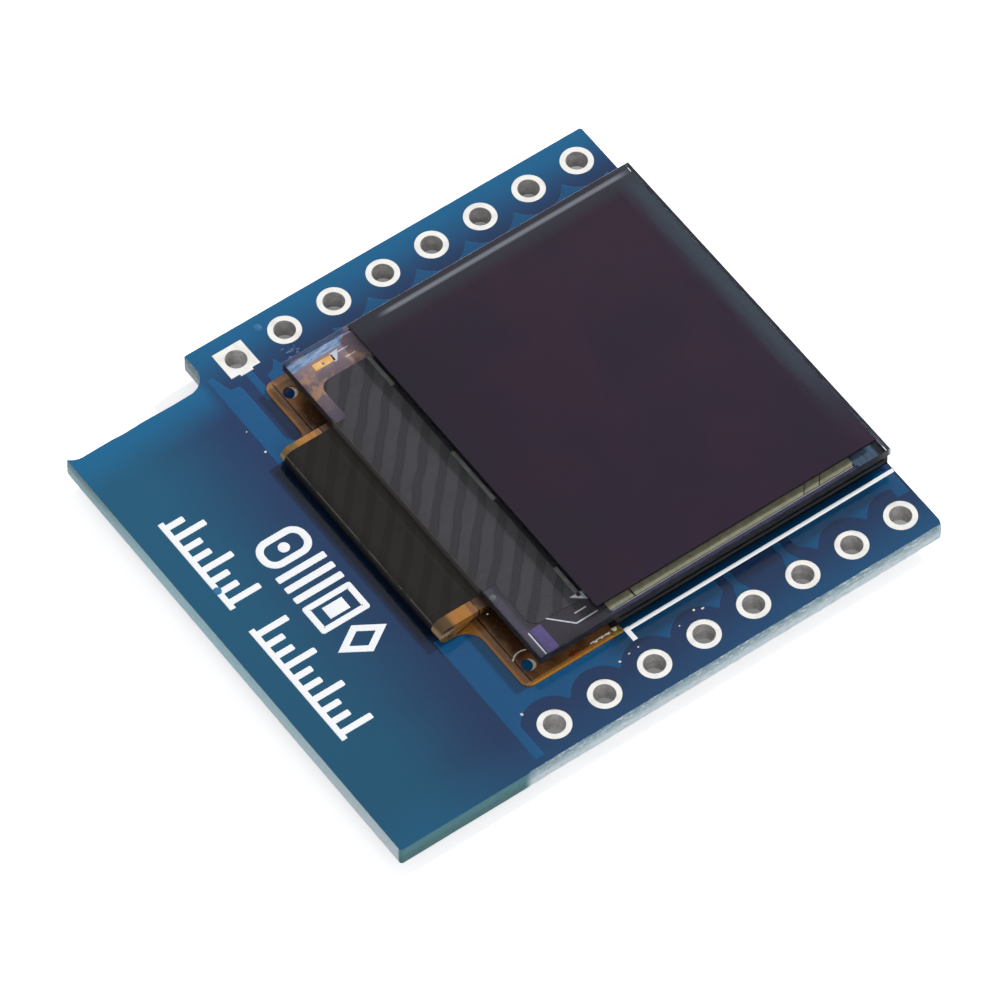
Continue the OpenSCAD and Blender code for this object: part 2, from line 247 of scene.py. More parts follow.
def corner_web(x, y, r, side_x, side_y):
    """The web that rounds an inside corner: it fills from the corner towards (side_x, side_y)."""
    middle_x, middle_y = x + side_x * r, y + side_y * r
    facing = math.degrees(math.atan2(-side_y, -side_x))
    return polygon([(x, y)] + arc(middle_x, middle_y, r, facing - 45, facing + 45, 10))


def inset(loop, distance):
    """A closed loop moved to its left, inwards for an outline, by one distance or one for each point."""
    loop = np.asarray(loop, float)
    ahead = np.roll(loop, -1, 0) - loop
    ahead /= np.linalg.norm(ahead, axis=1, keepdims=True)
    left = np.column_stack((-ahead[:, 1], ahead[:, 0]))
    both = left + np.roll(left, 1, 0)
    both /= np.maximum((both ** 2).sum(1, keepdims=True) / 2, 0.3)
    return loop + both * np.reshape(distance, (-1, 1))


def resample(loop, spacing):
    """The same closed loop with points no further apart than the spacing."""
    loop = np.asarray(loop, float)
    points = []
    for a, b in zip(loop, np.roll(loop, -1, 0)):
        count = max(1, math.ceil(np.linalg.norm(b - a) / spacing))
        points += [a + (b - a) * i / count for i in range(count)]
    return np.array(points)


def triangulate(loops, inside, guides=()):
    """Triangles of the region that a test keeps, between loops and along guide lines."""
    points, edges = [], []
    for loop in loops:
        first = len(points)
        points += [Vector(p) for p in loop]
        edges += [(first + i, first + (i + 1) % len(loop)) for i in range(len(loop))]
    for a, b in guides:
        edges.append((len(points), len(points) + 1))
        points += [Vector(a), Vector(b)]
    places, _, faces, origins, _, _ = delaunay_2d_cdt(points, edges, [], 0, 1e-6)
    flat = np.array([p[:] for p in places])
    faces = np.array(faces)
    return flat, faces[inside(flat[faces].mean(1))], origins


def region(shape, guides=()):
    """The points and triangles of a flat shape."""
    flat, faces, _ = triangulate(shape.loops, shape.inside, guides)
    used, places = np.unique(faces, return_inverse=True)
    return flat[used], places.reshape(faces.shape)


def rims(faces):
    """The edges round a patch of triangles, each with the patch on its left."""
    sides = {(f[i], f[(i + 1) % 3]) for f in faces.tolist() for i in range(3)}
    return [(a, b) for a, b in sides if (b, a) not in sides]


def outward(flat, edges):
    """How far each rim point moves for a step of one outwards."""
    total = np.zeros((len(flat), 2))
    for a, b in edges:
        along = flat[b] - flat[a]
        normal = np.array([along[1], -along[0]]) / max(np.linalg.norm(along), 1e-9)
        total[a] += normal
        total[b] += normal
    return total / np.maximum((total ** 2).sum(1, keepdims=True) / 2, 0.5)


# ---------------------------------------------------------------- meshes

def wobble(x, y, z, scale, seed=0.0):
    """Smooth noise from -1 to 1 at a point; the scale is in waves a millimetre."""
    return noise.noise(Vector((x * scale + seed, y * scale - seed, z * scale + seed * 0.7)))


class Builder:
    """Collects the parts of one mesh, in millimetres."""

    def __init__(self):
        self.verts, self.faces, self.slots, self.smooth = [], [], [], []

    def add(self, verts, faces, slot=0, smooth=True, flip=False):
        """Adds points with their faces, and says where the points start."""
        first = len(self.verts)
        self.verts += [tuple(v) for v in verts]
        self.join(first, faces, slot, smooth, flip)
        return first

    def join(self, first, faces, slot=0, smooth=True, flip=False):
        """Adds faces between points that are there, counted from the first."""
        for face in faces:
            turned = reversed(face) if flip else face
            self.faces.append(tuple(first + int(i) for i in turned))
            self.slots.append(slot)
            self.smooth.append(smooth)

    def loft(self, loops, levels, slot=0, end_slot=None):
        """A solid between flat ends. A level is its z and an inset: one for all, or a list of one a loop."""
        count = sum(len(loop) for loop in loops)
        verts, sides = [], []
        for z, insets in levels:
            for number, loop in enumerate(loops):
                by = insets[number] if isinstance(insets, list) else insets
                verts += [(x, y, z) for x, y in inset(loop, by)]
        for level in range(len(levels) - 1):
            start = level * count
            for loop in loops:
                for i in range(len(loop)):
                    a, b = start + i, start + (i + 1) % len(loop)
                    sides.append((a, b, b + count, a + count))
                start += len(loop)
        first = self.add(verts, sides, slot)
        for level in (0, len(levels) - 1):
            flat = np.array(verts[level * count:(level + 1) * count])[:, :2]
            rings = np.split(flat, np.cumsum([len(loop) for loop in loops])[:-1])
            _, faces, origins = triangulate(rings, between_loops(rings))
            ends = [[origins[i][0] for i in face] for face in faces]
            self.join(first + level * count, ends, slot if end_slot is None else end_slot, False, level == 0)

    def relief(self, shape, z, height, slope, up=1):
        """A flat region raised by a height, with sides that round off and spread by the slope."""
        flat, faces = region(shape)
        edges = rims(faces)
        spread = outward(flat, edges)
        rim_points = sorted({p for edge in edges for p in edge})
        verts = [(x, y, z + up * height) for x, y in flat]
        rows = [{p: p for p in rim_points}]
        for step, drop in ((0.35, 0.12), (0.7, 0.45), (1.0, 1.06)):
            rows.append({p: len(verts) + i for i, p in enumerate(rim_points)})
            for p in rim_points:
                x, y = flat[p] + spread[p] * slope * step
                verts.append((x, y, z + up * height * (1 - drop)))
        sides = []
        for upper, lower in zip(rows, rows[1:]):
            sides += [(upper[a], lower[a], lower[b], upper[b]) for a, b in edges]
        first = self.add(verts, faces, smooth=False, flip=up < 0)
        self.join(first, sides, flip=up < 0)

    def sheet(self, shape, guides, place, low, high):
        """A thin sheet. place(x, y, offset) bends a flat point, at an offset from the sheet's middle."""
        flat, faces = region(shape, guides)
        count = len(flat)
        verts = [place(x, y, high) for x, y in flat] + [place(x, y, low) for x, y in flat]
        first = self.add(verts, faces)
        self.join(first + count, faces, flip=True)
        self.join(first, [(a, a + count, b + count, b) for a, b in rims(faces)])

    def surface(self, grid, closed=False):
        """A skin over a grid of points, and round its first direction where it is closed."""
        grid = np.asarray(grid, float)
        rows, columns = grid.shape[:2]
        faces = []
        for i in range(rows if closed else rows - 1):
            for j in range(columns - 1):
                a, b = i * columns + j, (i + 1) % rows * columns + j
                faces.append((a, b, b + 1, a + 1))
        self.add(grid.reshape(-1, 3), faces)

    def dome(self, x, y, z, r, height, squash=1.0):
        """A low round blob on a surface."""
        grid = []
        for turn in np.linspace(0, 2 * math.pi, 20, endpoint=False):
            across, along = r * math.cos(turn), squash * r * math.sin(turn)
            grid.append([
                (x + across * math.cos(lean), y + along * math.cos(lean), z + height * math.sin(lean))
                for lean in np.linspace(0, math.pi / 2, 6)
            ])
        self.surface(grid, closed=True)

    def finish(self, name, materials, slot, *nodes, sharp=40):
        """The finished piece, riding on the body and standing for its CAD nodes."""
        mesh = bpy.data.meshes.new(name)
        mesh.from_pydata([(x * MM, y * MM, z * MM) for x, y, z in self.verts], [], self.faces)
        mesh.polygons.foreach_set("material_index", self.slots)
        mesh.polygons.foreach_set("use_smooth", self.smooth)
        for material in materials:
            mesh.materials.append(material)
        mesh.validate()
        mesh.update()
        mesh.set_sharp_from_angle(angle=math.radians(sharp))
        made = bpy.data.objects.new(name, mesh)
        bpy.context.scene.collection.objects.link(made)
        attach(made, "root")
        if nodes:
            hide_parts(*nodes)


# ---------------------------------------------------------------- materials

def srgb(*rgb):
    """A display colour from 0 to 255, as the linear colour that shaders take."""
    shares = [value / 255 for value in rgb]
    return tuple(c / 12.92 if c <= 0.04045 else ((c + 0.055) / 1.055) ** 2.4 for c in shares) + (1.0,)


class Value:
    """A number or a colour that nodes work out at each point, with arithmetic for the numbers."""

    def __init__(self, finish, socket):
        self.finish = finish
        self.socket = socket

    def __add__(self, other):
        return self.finish.calc("ADD", self, other)

    def __sub__(self, other):
        return self.finish.calc("SUBTRACT", self, other)

    def __mul__(self, other):
        return self.finish.calc("MULTIPLY", self, other)

    def __abs__(self):
        return self.finish.calc("ABSOLUTE", self)

    def wave(self, pitch):
        """A sine wave over this value."""
        return self.finish.calc("SINE", self * (2 * math.pi / pitch))

    def step(self, low, high, out_low=0.0, out_high=1.0):
        """A soft step: out_low below low, out_high above high."""
        inputs = {"Value": self, "From Min": low, "From Max": high, "To Min": out_low, "To Max": out_high}
        made = self.finish.node("MapRange", inputs, interpolation_type="SMOOTHSTEP")
        return Value(self.finish, made.outputs[0])

    def band(self, low, high, soft):
        """One between low and high, with soft sides."""
        return self.step(low - soft, low + soft) - self.step(high - soft, high + soft)


class Finish:
    """A material whose nodes read the object's own coordinates, in millimetres."""

    def __init__(self, name, **settings):
        self.material = bpy.data.materials.new(name)
        self.material.use_nodes = True
        self.tree = self.material.node_tree
        self.shader = self.tree.nodes["Principled BSDF"]
        self.output = self.tree.nodes["Material Output"]
        coordinate = self.node("TexCoord").outputs["Object"]
        self.place = self.node("VectorMath", {0: coordinate, 3: 1 / MM}, operation="SCALE").outputs[0]
        self.x, self.y, self.z = [
            Value(self, socket) for socket in self.node("SeparateXYZ", {0: self.place}).outputs
        ]
        for socket, value in settings.items():
            self.feed(self.shader.inputs[socket.replace("_", " ")], value)

    def feed(self, socket, value):
        """Gives a socket its number or colour, or links it to what works it out."""
        source = getattr(value, "socket", value)
        if isinstance(source, bpy.types.NodeSocket):
            self.tree.links.new(source, socket)
        else:
            socket.default_value = source

    def node(self, kind, inputs=None, **settings):
        """A new shader node with its settings and inputs."""
        made = self.tree.nodes.new("ShaderNode" + kind)
        for key, value in settings.items():
            setattr(made, key, value)
        for key, value in (inputs or {}).items():
            self.feed(made.inputs[key], value)
        return made

    def calc(self, operation, *inputs):
        """A Math node's result."""
        return Value(self, self.node("Math", dict(enumerate(inputs)), operation=operation).outputs[0])

    def stretch(self, x=1.0, y=1.0, z=1.0, turn=0.0):
        """The object's coordinates with each axis scaled, turned about Z by an angle in degrees."""
        inputs = {0: self.place, "Scale": (x, y, z), "Rotation": (0.0, 0.0, math.radians(turn))}
        return self.node("Mapping", inputs).outputs[0]

    def noise(self, scale, detail=2.0, roughness=0.5, vector=None):
        """Cloudy noise; the scale is in waves a millimetre."""
        inputs = {"Vector": vector or self.place, "Scale": scale, "Detail": detail, "Roughness": roughness}
        return Value(self, self.node("TexNoise", inputs).outputs["Fac"])

    def mix(self, share, a, b, blend="MIX"):
        """A colour between two. Each is a value, or a display colour from 0 to 255."""
        a, b = [colour if isinstance(colour, Value) else srgb(*colour) for colour in (a, b)]
        made = self.node("Mix", {0: share, 6: a, 7: b}, data_type="RGBA", blend_type=blend)
        return Value(self, made.outputs[2])

    def done(self, colour, roughness, height=None, bump=0.0):
        """The finished material. A height of one stands for a bump of so many millimetres."""
        self.feed(self.shader.inputs["Base Color"], colour)
        self.feed(self.shader.inputs["Roughness"], roughness)
        if height:
            made = self.node("Bump", {"Strength": 1.0, "Distance": bump * MM, "Height": height})
            self.feed(self.shader.inputs["Normal"], made.outputs[0])
        return self.material


def tint_by_place(finish, left, right, from_x, to_x, glow):
    """A mottled colour that changes along the board and is darker towards -Y, with painted light and shade: a
    painted glow where its edges let light in, a painted shadow beside the bend, and painted shade below the
    panel.
    """
    x, y = finish.x, finish.y
    along = (x + finish.noise(0.35, 3.0) * 1.6 - 0.8).step(from_x, to_x)
    shade = y.step(BOARD_LOW[1], BOARD_HIGH[1], 0.87, 1.06)
    colour = finish.mix(1.0, finish.mix(along, left, right), shade, "MULTIPLY")
    # Painted glow: the colour turns towards the glow colour along the board's edges and the notch.
    wavy_y = y + finish.noise(0.8, 3.0) * 0.7 - 0.35
    high_edge = wavy_y.step(BOARD_HIGH[1] - 2.9, BOARD_HIGH[1] + 0.1)
    notch_edge = wavy_y.step(NOTCH_FLOOR - 2.2, NOTCH_FLOOR - 0.1)
    notch_edge = notch_edge * x.step(NOTCH_SIDE + 0.3, NOTCH_SIDE - 0.6)
    low_edge = wavy_y.step(BOARD_LOW[1] + 2.4, BOARD_LOW[1] - 0.2) * x.step(-2.0, BOARD_HIGH[0], 0.22, 0.5)
    edges = finish.calc("MAXIMUM", finish.calc("MAXIMUM", high_edge, notch_edge), low_edge)
    colour = finish.mix(edges * 0.9, colour, glow)
    # Painted shadow beside the bend: the mask is darkened there.
    bend_painted_shadow = y.band(COVER_Y0 - 0.1, COVER_Y1 + 0.1, 0.3) * x.band(-7.2, -6.0, 0.12)
    colour = finish.mix(bend_painted_shadow * 0.8, colour, (4, 12, 24))
    # Painted shade along the panel's -Y side, for the panel's dark reflection in the mask and its shade.
    panel_painted_shade = y.step(GLASS_LOW[1] - 1.3, GLASS_LOW[1] - 0.8) * y.step(GLASS_HIGH[1], 0.0)
    return finish.mix(panel_painted_shade * x.band(-1.0, 12.9, 0.8) * 0.5, colour, (2, 8, 22))


def mask_finish(name, left, right, from_x, to_x):
    """Solder mask: a glossy lacquer with a faint orange peel and a fine weave showing through."""
    finish = Finish(name, Specular_IOR_Level=0.26)
    # The last colour given is the painted glow along the board's edges.
    colour = tint_by_place(finish, left, right, from_x, to_x, (8, 105, 153))
    weave = finish.x.wave(0.42) * finish.y.wave(0.42)
    grain = finish.noise(14.0, 3.0, 0.6)
    fleck = finish.mix(weave * 0.035 + grain * 0.3 + 0.35, (232, 232, 232), (255, 255, 255))
    colour = finish.mix(1.0, colour, fleck, "MULTIPLY")
    rough = finish.noise(2.2, 4.0).step(0.3, 0.7, 0.11, 0.22)
    return finish.done(colour, rough, finish.noise(5.0) + grain * 0.1, 0.004)


def laminate_finish():
    """The board's cut edge: glass cloth in resin, milled or torn, with the mask's edge along the top, made
    palest near its foot partly as painted light, and paler at the -X end as painted light.
    """
    finish = Finish("laminate_edge", Specular_IOR_Level=0.3)
    x, y, z = finish.x, finish.y, finish.z
    up = z.step(BOARD_LOW[2], BOARD_HIGH[2])
    fibres = finish.noise(3.0, 5.0, 0.75, finish.stretch(z=14.0))
    grain = finish.noise(22.0, 3.0, 0.7)
    deep = up + fibres * 0.5 - 0.25
    # The pale tones are the laminate's own, made palest near the foot partly as painted light.
    pale = finish.mix(deep.step(0.2, 0.7), (214, 232, 242), (158, 188, 202))
    pale = finish.mix(deep.step(0.7, 0.98), pale, (120, 156, 174))
    # Painted light: the wall at the -X end is made paler, and palest towards -Y.
    at_low_end = x.step(BOARD_LOW[0] + 0.25, BOARD_LOW[0] + 0.1)
    low_end_painted_light = finish.mix(y.step(0.0, BOARD_LOW[1]), (176, 224, 236), (228, 246, 255))
    pale = finish.mix(at_low_end * 0.75, pale, low_end_painted_light)
    teal = finish.mix(deep.step(0.2, 0.9), (16, 95, 102), (38, 118, 127))
    near_low = y.step(BOARD_LOW[1] + 0.25, BOARD_LOW[1] + 0.1)
    milled = near_low * x.step(PIN_X[0] - 2.0, PIN_X[0] - 2.5)
    colour = finish.mix(milled, pale, teal)
    far = y.step(4.0, BOARD_HIGH[1] - 1.5) * up.step(0.25, 1.0, 0.35, 0.95)
    colour = finish.mix(far, colour, (74, 118, 124))
    skin = z.step(BOARD_HIGH[2] - 0.05, BOARD_HIGH[2] - 0.02)
    colour = finish.mix(skin, colour, (52, 108, 138))
    torn = x.step(PIN_X[0] - 2.2, PIN_X[0] - 1.6)
    pit = finish.noise(5.0, 4.0, 0.7, finish.stretch(0.6, 1.0, 2.2)).step(0.52, 0.68)
    colour = finish.mix(pit * torn * 0.55, colour, (112, 128, 134))
    fleck = finish.noise(7.0, 5.0, 0.75, finish.stretch(0.5, 1.0, 1.8)).step(0.52, 0.62)
    colour = finish.mix(fleck * torn * 0.8, colour, (246, 248, 250))
    speck = grain.step(0.35, 0.72) * milled.step(0.0, 1.0, 0.28, 0.04)
    colour = finish.mix(speck, colour, (232, 238, 240))
    return finish.done(colour, milled.step(0.0, 1.0, 0.65, 0.42), fibres + grain * 0.6, 0.035)


def silk_finish():
    """The white ink, a little worn."""
    finish = Finish("legend_ink", Specular_IOR_Level=0.3)
    worn = finish.noise(9.0, 4.0, 0.65).step(0.62, 0.78, 0.0, 0.3)
    colour = finish.mix(worn, (247, 249, 252), (196, 208, 222))
    return finish.done(colour, 0.55, finish.noise(18.0), 0.004)


def metal_finish(name, light, dark, roughness, bump, scale):
    """Tinned or soldered metal: bright, slightly uneven, duller in its hollows."""
    finish = Finish(name, Metallic=1.0)
    colour = finish.mix(finish.noise(scale * 0.4, 3.0).step(0.4, 0.75), light, dark)
    rough = finish.noise(scale, 4.0).step(0.3, 0.7, roughness * 0.7, roughness * 1.4)
    return finish.done(colour, rough, finish.noise(scale, 3.0, 0.55), bump)


def pass_light(finish, tint):
    """Lets light from lamps, and light scattered behind the glass, through it in a straight line."""
    clear = finish.node("BsdfTransparent", {"Color": tint})
    path = finish.node("LightPath")
    surface = finish.shader.outputs[0]
    for ray in ("Is Diffuse Ray", "Is Shadow Ray"):
        join = finish.node("MixShader", {0: path.outputs[ray]})
        finish.tree.links.new(surface, join.inputs[1])
        finish.tree.links.new(clear.outputs[0], join.inputs[2])
        surface = join.outputs[0]
    finish.tree.links.new(surface, finish.output.inputs["Surface"])


def clear_glass_finish():
    """The front glass, whose low index stands for its contact with the layers behind it."""
    finish = Finish("clear_glass", Transmission_Weight=1.0, IOR=1.17)
    pass_light(finish, srgb(244, 248, 249))
    colour = finish.mix(finish.noise(0.6), (246, 250, 251), (238, 246, 248))
    return finish.done(colour, finish.noise(1.3, 3.0).step(0.5, 0.8, 0.0, 0.02))


def ground_edge_finish():
    """The front glass's cut edges, with light and shade painted by side: dark at -X and -Y for the dark that
    shows through them, lighter by the neck as painted light, and a frosted grey at +X and +Y made pale as
    painted light.
    """
    finish = Finish("ground_glass_edge", Specular_IOR_Level=0.3)
    x, y = finish.x, finish.y
    grain = finish.noise(2.2, 4.0, 0.65, finish.stretch(z=4.0))
    # Painted shade: the -X and -Y edges are dark, for the dark film and shade that show through them.
    near = finish.mix(grain.step(0.35, 0.7), (14, 14, 17), (46, 47, 54))
    # Painted light: the -X edge is lighter beside the neck, where the glass's shade falls.
    neck_painted_light = y.band(COVER_Y0, COVER_Y1, 0.1) * x.step(GLASS_LOW[0] + 0.12, GLASS_LOW[0] + 0.08)
    near = finish.mix(neck_painted_light, near, (84, 81, 78))
    # Painted light: the +X and +Y edges are a pale frosted grey, for the light they catch.
    far = finish.mix(grain.step(0.3, 0.7), (150, 152, 168), (204, 204, 220))
    by_ledge = x.step(FILM_LOW[0] + 0.1, FILM_LOW[0] - 0.4)
    far = finish.mix(by_ledge * 0.85, far, (84, 104, 146))
    at_high_x = x.step(GLASS_HIGH[0] - 0.12, GLASS_HIGH[0] - 0.08)
    at_high_y = y.step(GLASS_HIGH[1] - 0.12, GLASS_HIGH[1] - 0.08)
    colour = finish.mix(finish.calc("MAXIMUM", at_high_x, at_high_y), near, far)
    return finish.done(colour, 0.45, grain, 0.02)


def polarizer_finish():
    """The dark film on the glass, with a painted reflection in slate along its +X end, and a haze and a pale
    band along its +Y side.
    """
    finish = Finish("polarizing_film", Specular_IOR_Level=0.22)
    x, y, top = finish.x, finish.y, FILM_HIGH[1]
    colour = finish.mix(finish.noise(0.25).step(0.35, 0.65), (42, 21, 43), (34, 22, 42))
    colour = finish.mix(x.step(FILM_LOW[0] + 3.0, FILM_LOW[0]) * 0.6, colour, (28, 22, 36))
    # Painted reflection: slate along the +X end, fading away towards -Y.
    streaks = finish.noise(1.0, 3.0, 0.6, finish.stretch(4.0, 0.5))
    end = (x + streaks * 0.5).step(FILM_HIGH[0] - 0.95, FILM_HIGH[0] + 0.05)
    end *= y.step(FILM_LOW[1] + 0.5, FILM_LOW[1] + 6.5, 0.1, 1.0)
    colour = finish.mix(end, colour, (50, 60, 72))
    haze = (y + streaks * 0.4).step(top - 1.3, top - 0.4, 0.0, 0.7)
    colour = finish.mix(haze, colour, (46, 50, 60))
    pale = y.band(top - 0.48, top - 0.28, 0.07) * x.band(FILM_LOW[0] + 1.6, FILM_HIGH[0] - 0.35, 0.5)
    colour = finish.mix(pale * 0.85, colour, (124, 128, 138))
    rough = finish.noise(1.1, 4.0).step(0.4, 0.75, 0.07, 0.14)
    return finish.done(colour, rough, finish.noise(0.5), 0.0012)


def dark_glass_finish():
    """The cap's glass, nearly black over the dark behind it."""
    finish = Finish("dark_glass", Specular_IOR_Level=0.06)
    colour = finish.mix(finish.noise(0.8, 3.0), (6, 8, 11), (14, 17, 22))
    rough = finish.noise(4.0, 4.0).step(0.4, 0.7, 0.05, 0.16)
    return finish.done(colour, rough, finish.noise(2.5, 3.0), 0.004)


def film_finish():
    """The black cover film: slanting bands, lighter under the glass as painted reflection and darker outside
    it, with painted light outside it by the glass's edge, a painted highlight along the bend's crest, and
    painted shade below it.
    """
    finish = Finish("black_film", Specular_IOR_Level=0.2)
    x, z = finish.x, finish.z
    wave = (x - finish.y * 0.92 + finish.noise(0.7, 3.0) * 0.5 - 0.25).wave(STRIPE_PITCH)
    streaks = finish.noise(1.5, 4.0, 0.65, finish.stretch(0.45, 5.0, 1.0, -45))
    bands = wave.step(-0.45, 0.05) * streaks.step(0.3, 0.6, 0.4, 1.0)
    # Under the glass the colours are lighter, as painted reflection of the glass.
    under_with_painted_reflection = finish.mix(bands, (59, 56, 60), (71, 68, 73))
    under_with_painted_reflection = finish.mix(wave.band(-0.6, -0.48, 0.1) * 0.6, under_with_painted_reflection, (38, 37, 44))
    out = finish.mix(bands * 0.35, (27, 24, 22), (36, 33, 31))
    # Painted light: the bare film is lighter by the glass's edge, where the glass's shadow falls.
    out = finish.mix(x.step(GLASS_LOW[0] - 0.7, GLASS_LOW[0] - 0.15) * 0.8, out, (46, 43, 41))
    colour = finish.mix(x.step(GLASS_LOW[0] + 0.05, GLASS_LOW[0] - 0.05), under_with_painted_reflection, out)
    # Painted highlight: a broken pale line along the bend's crest.
    crest_painted_highlight = z.band(BEND_Z + 0.27, BEND_Z + 0.31, 0.02) * finish.noise(1.6, 4.0, 0.7).step(0.38, 0.55, 0.1, 0.85)
    colour = finish.mix(crest_painted_highlight, colour, (104, 103, 99))
    # Painted shade: the bend is darker below its crest.
    colour = finish.mix(z.step(BEND_Z + 0.27, BEND_Z + 0.1) * 0.8, colour, (10, 9, 9))
    return finish.done(colour, bands.step(0.0, 1.0, 0.6, 0.48), bands + finish.noise(6.0, 3.0) * 0.5, 0.006)


def polyimide_finish():
    """Amber film over copper tracks: brown and streaked, with painted shadow towards the panel, gold along
    the edges, and painted light and shade round the fold.
    """
    finish = Finish("polyimide", Specular_IOR_Level=0.35)
    x, y, z = finish.x, finish.y, finish.z
    streaks = finish.noise(1.4, 4.0, 0.65, finish.stretch(1.0, 0.35, 1.0, 20))
    brown = finish.mix(y.step(0.0, 6.0), (134, 92, 56), (160, 114, 74))
    colour = finish.mix(streaks.step(0.35, 0.7), brown, (92, 60, 38))
    drift = finish.noise(1.1, 3.0) * 0.8 - 0.4
    wavy_y = y + drift * 0.5
    # Painted shadow: the tail darkens towards the panel, less so at its +Y and -Y ends.
    panel_painted_shadow = (x + drift).step(TAIL[0] + 0.35, TAIL[0] + 0.75)
    off_neck = wavy_y.step(TAIL[3] - 1.2, TAIL[3] - 2.0, 0.15, 1.0)
    off_hole = wavy_y.step(TAIL[1] + 1.15, TAIL[1] + 1.6, 0.12, 1.0)
    colour = finish.mix(panel_painted_shadow * off_neck * off_hole * 0.9, colour, (52, 32, 18))
    slit = x.band(TAIL[0] + 0.38, TAIL[0] + 0.45, 0.02) * finish.noise(2.0).step(0.3, 0.45)
    colour = finish.mix(slit, colour, (34, 20, 14))
    near_low = y.step(TAIL[1] + 0.22, TAIL[1] + 0.06)
    near_end = x.step(TAIL[0] + 0.14, TAIL[0] + 0.04, 0.0, 0.6)
    rim = finish.calc("MAXIMUM", near_low, near_end) * streaks.step(0.3, 0.5, 0.45, 0.95)
    colour = finish.mix(rim, colour, (188, 128, 48))
    fold_with_painted_light = finish.mix(streaks.step(0.4, 0.6), (112, 86, 40), (146, 114, 52))
    # Painted highlight: a tan band along the fold.
    fold_with_painted_light = finish.mix(z.band(BEND_Z - 0.02, BEND_Z + 0.2, 0.06) * 0.9, fold_with_painted_light, (196, 162, 122))
    # Painted shade: the fold darkens towards its top, most at -Y.
    upper = z.step(BEND_Z + 0.2, BEND_Z + 0.34) * y.step(0.0, 4.0, 0.9, 0.35)
    fold_with_painted_light = finish.mix(upper, fold_with_painted_light, (70, 50, 28))
    colour = finish.mix(x.step(TAIL[0] - 0.7, TAIL[0] - 1.0), colour, fold_with_painted_light)
    rough = finish.noise(5.0, 3.0).step(0.3, 0.7, 0.16, 0.34)
    return finish.done(colour, rough, finish.noise(2.0, 3.0) - slit * 0.6, 0.02)


def ledge_layer_finish():
    """A grey plum behind the ledge, paler by the cut edge, and rosy at the +Y end as painted reflection, with
    orange patches.
    """
    finish = Finish("ledge_dark_layer", Specular_IOR_Level=0.15)
    drift = finish.noise(1.2, 3.0) * 1.2 - 0.6
    by_edge = (finish.x + drift * 0.3).step(GLASS_LOW[0] + 0.7, GLASS_LOW[0] + 0.3)
    dark = finish.mix(by_edge, (62, 57, 64), (86, 80, 96))
    wavy_y = finish.y + drift
    # Painted reflection: the +Y end turns rosy.
    rosy_reflection = finish.mix(wavy_y.step(7.6, 9.0), (112, 96, 104), (150, 128, 142))
    rosy_reflection = finish.mix(finish.noise(1.6, 3.0).step(0.5, 0.65, 0.0, 0.7), rosy_reflection, (188, 142, 108))
    colour = finish.mix(wavy_y.step(5.0, 7.0), dark, rosy_reflection)
    rough = finish.noise(4.0, 3.0).step(0.3, 0.7, 0.3, 0.5)
    return finish.done(colour, rough, finish.noise(6.0), 0.001)


def streaked_finish():
    """Blue wiring under the glass, with pale streaks along it."""
    finish = Finish("streaked_wiring", Specular_IOR_Level=0.2)
    streaks = finish.noise(1.6, 4.0, 0.7, finish.stretch(1.0, 5.0, 1.0, -4))
    colour = finish.mix(streaks.step(0.35, 0.6), (106, 128, 168), (156, 178, 210))
    colour = finish.mix(streaks.step(0.62, 0.7, 0.0, 0.8), colour, (222, 226, 236))
    return finish.done(colour, 0.35, streaks, 0.001)


def plain_finish(name, light, dark, roughness, specular=0.4, scale=5.0, bump=0.006, metallic=0.0):
    """A mottled, slightly uneven surface between two colours."""
    finish = Finish(name, Specular_IOR_Level=specular, Metallic=metallic)
    patches = finish.noise(scale, 4.0, 0.6)
    rough = finish.noise(scale * 2.3, 3.0).step(0.3, 0.7, roughness * 0.8, roughness * 1.2)
    return finish.done(finish.mix(patches.step(0.3, 0.7), light, dark), rough, patches, bump)


def resistor_finish(top_z):
    """A resistor's body: white ceramic, with dark glaze on the face away from the board."""
    finish = Finish("resistor_body", Specular_IOR_Level=0.45)
    glaze = (finish.noise(12.0, 3.0) * 0.03 + top_z - finish.z).step(0.0, 0.02)
    speck = finish.mix(finish.noise(25.0, 3.0), (22, 22, 26), (40, 40, 46))
    return finish.done(finish.mix(glaze, (226, 224, 216), speck), 0.35, finish.noise(14.0, 3.0), 0.008)


MASK = mask_finish("mask_on_laminate", (17, 88, 122), (26, 55, 98), BOARD_LOW[0] + 1.5, PIN_X[0] - 1.5)
MASK_COPPER = mask_finish("mask_on_copper", (14, 86, 137), (12, 84, 132), BOARD_LOW[0], BOARD_HIGH[0])
LAMINATE = laminate_finish()
SILK = silk_finish()
TINNED = metal_finish("tinned_copper", (247, 246, 242), (232, 231, 228), 0.26, 0.003, 4.0)
SOLDER = metal_finish("solder", (226, 227, 228), (176, 178, 182), 0.24, 0.01, 6.0)
CLEAR_GLASS = clear_glass_finish()
GROUND_EDGE = ground_edge_finish()
POLARIZER = polarizer_finish()
DARK_GLASS = dark_glass_finish()
FILM = film_finish()
POLYIMIDE = polyimide_finish()
SEAL = plain_finish("seal_glue", (176, 170, 142), (152, 147, 120), 0.35, 0.4, 3.0)
SEAL_DARK = plain_finish("seal_in_shade", (40, 41, 44), (58, 60, 62), 0.35, 0.2, 3.0)
SEAL_BLUE = plain_finish("seal_over_wiring", (66, 62, 98), (84, 72, 108), 0.35, 0.2, 4.0)
LEDGE = plain_finish("wired_ledge", (92, 112, 138), (78, 98, 124), 0.3, 0.2, 1.5)
RIM_SHADE = plain_finish("shaded_rim", (46, 48, 60), (62, 66, 78), 0.3, 0.2, 1.5)
PURPLE = plain_finish("printed_oxide", (102, 86, 140), (88, 76, 122), 0.35, 0.2, 6.0)
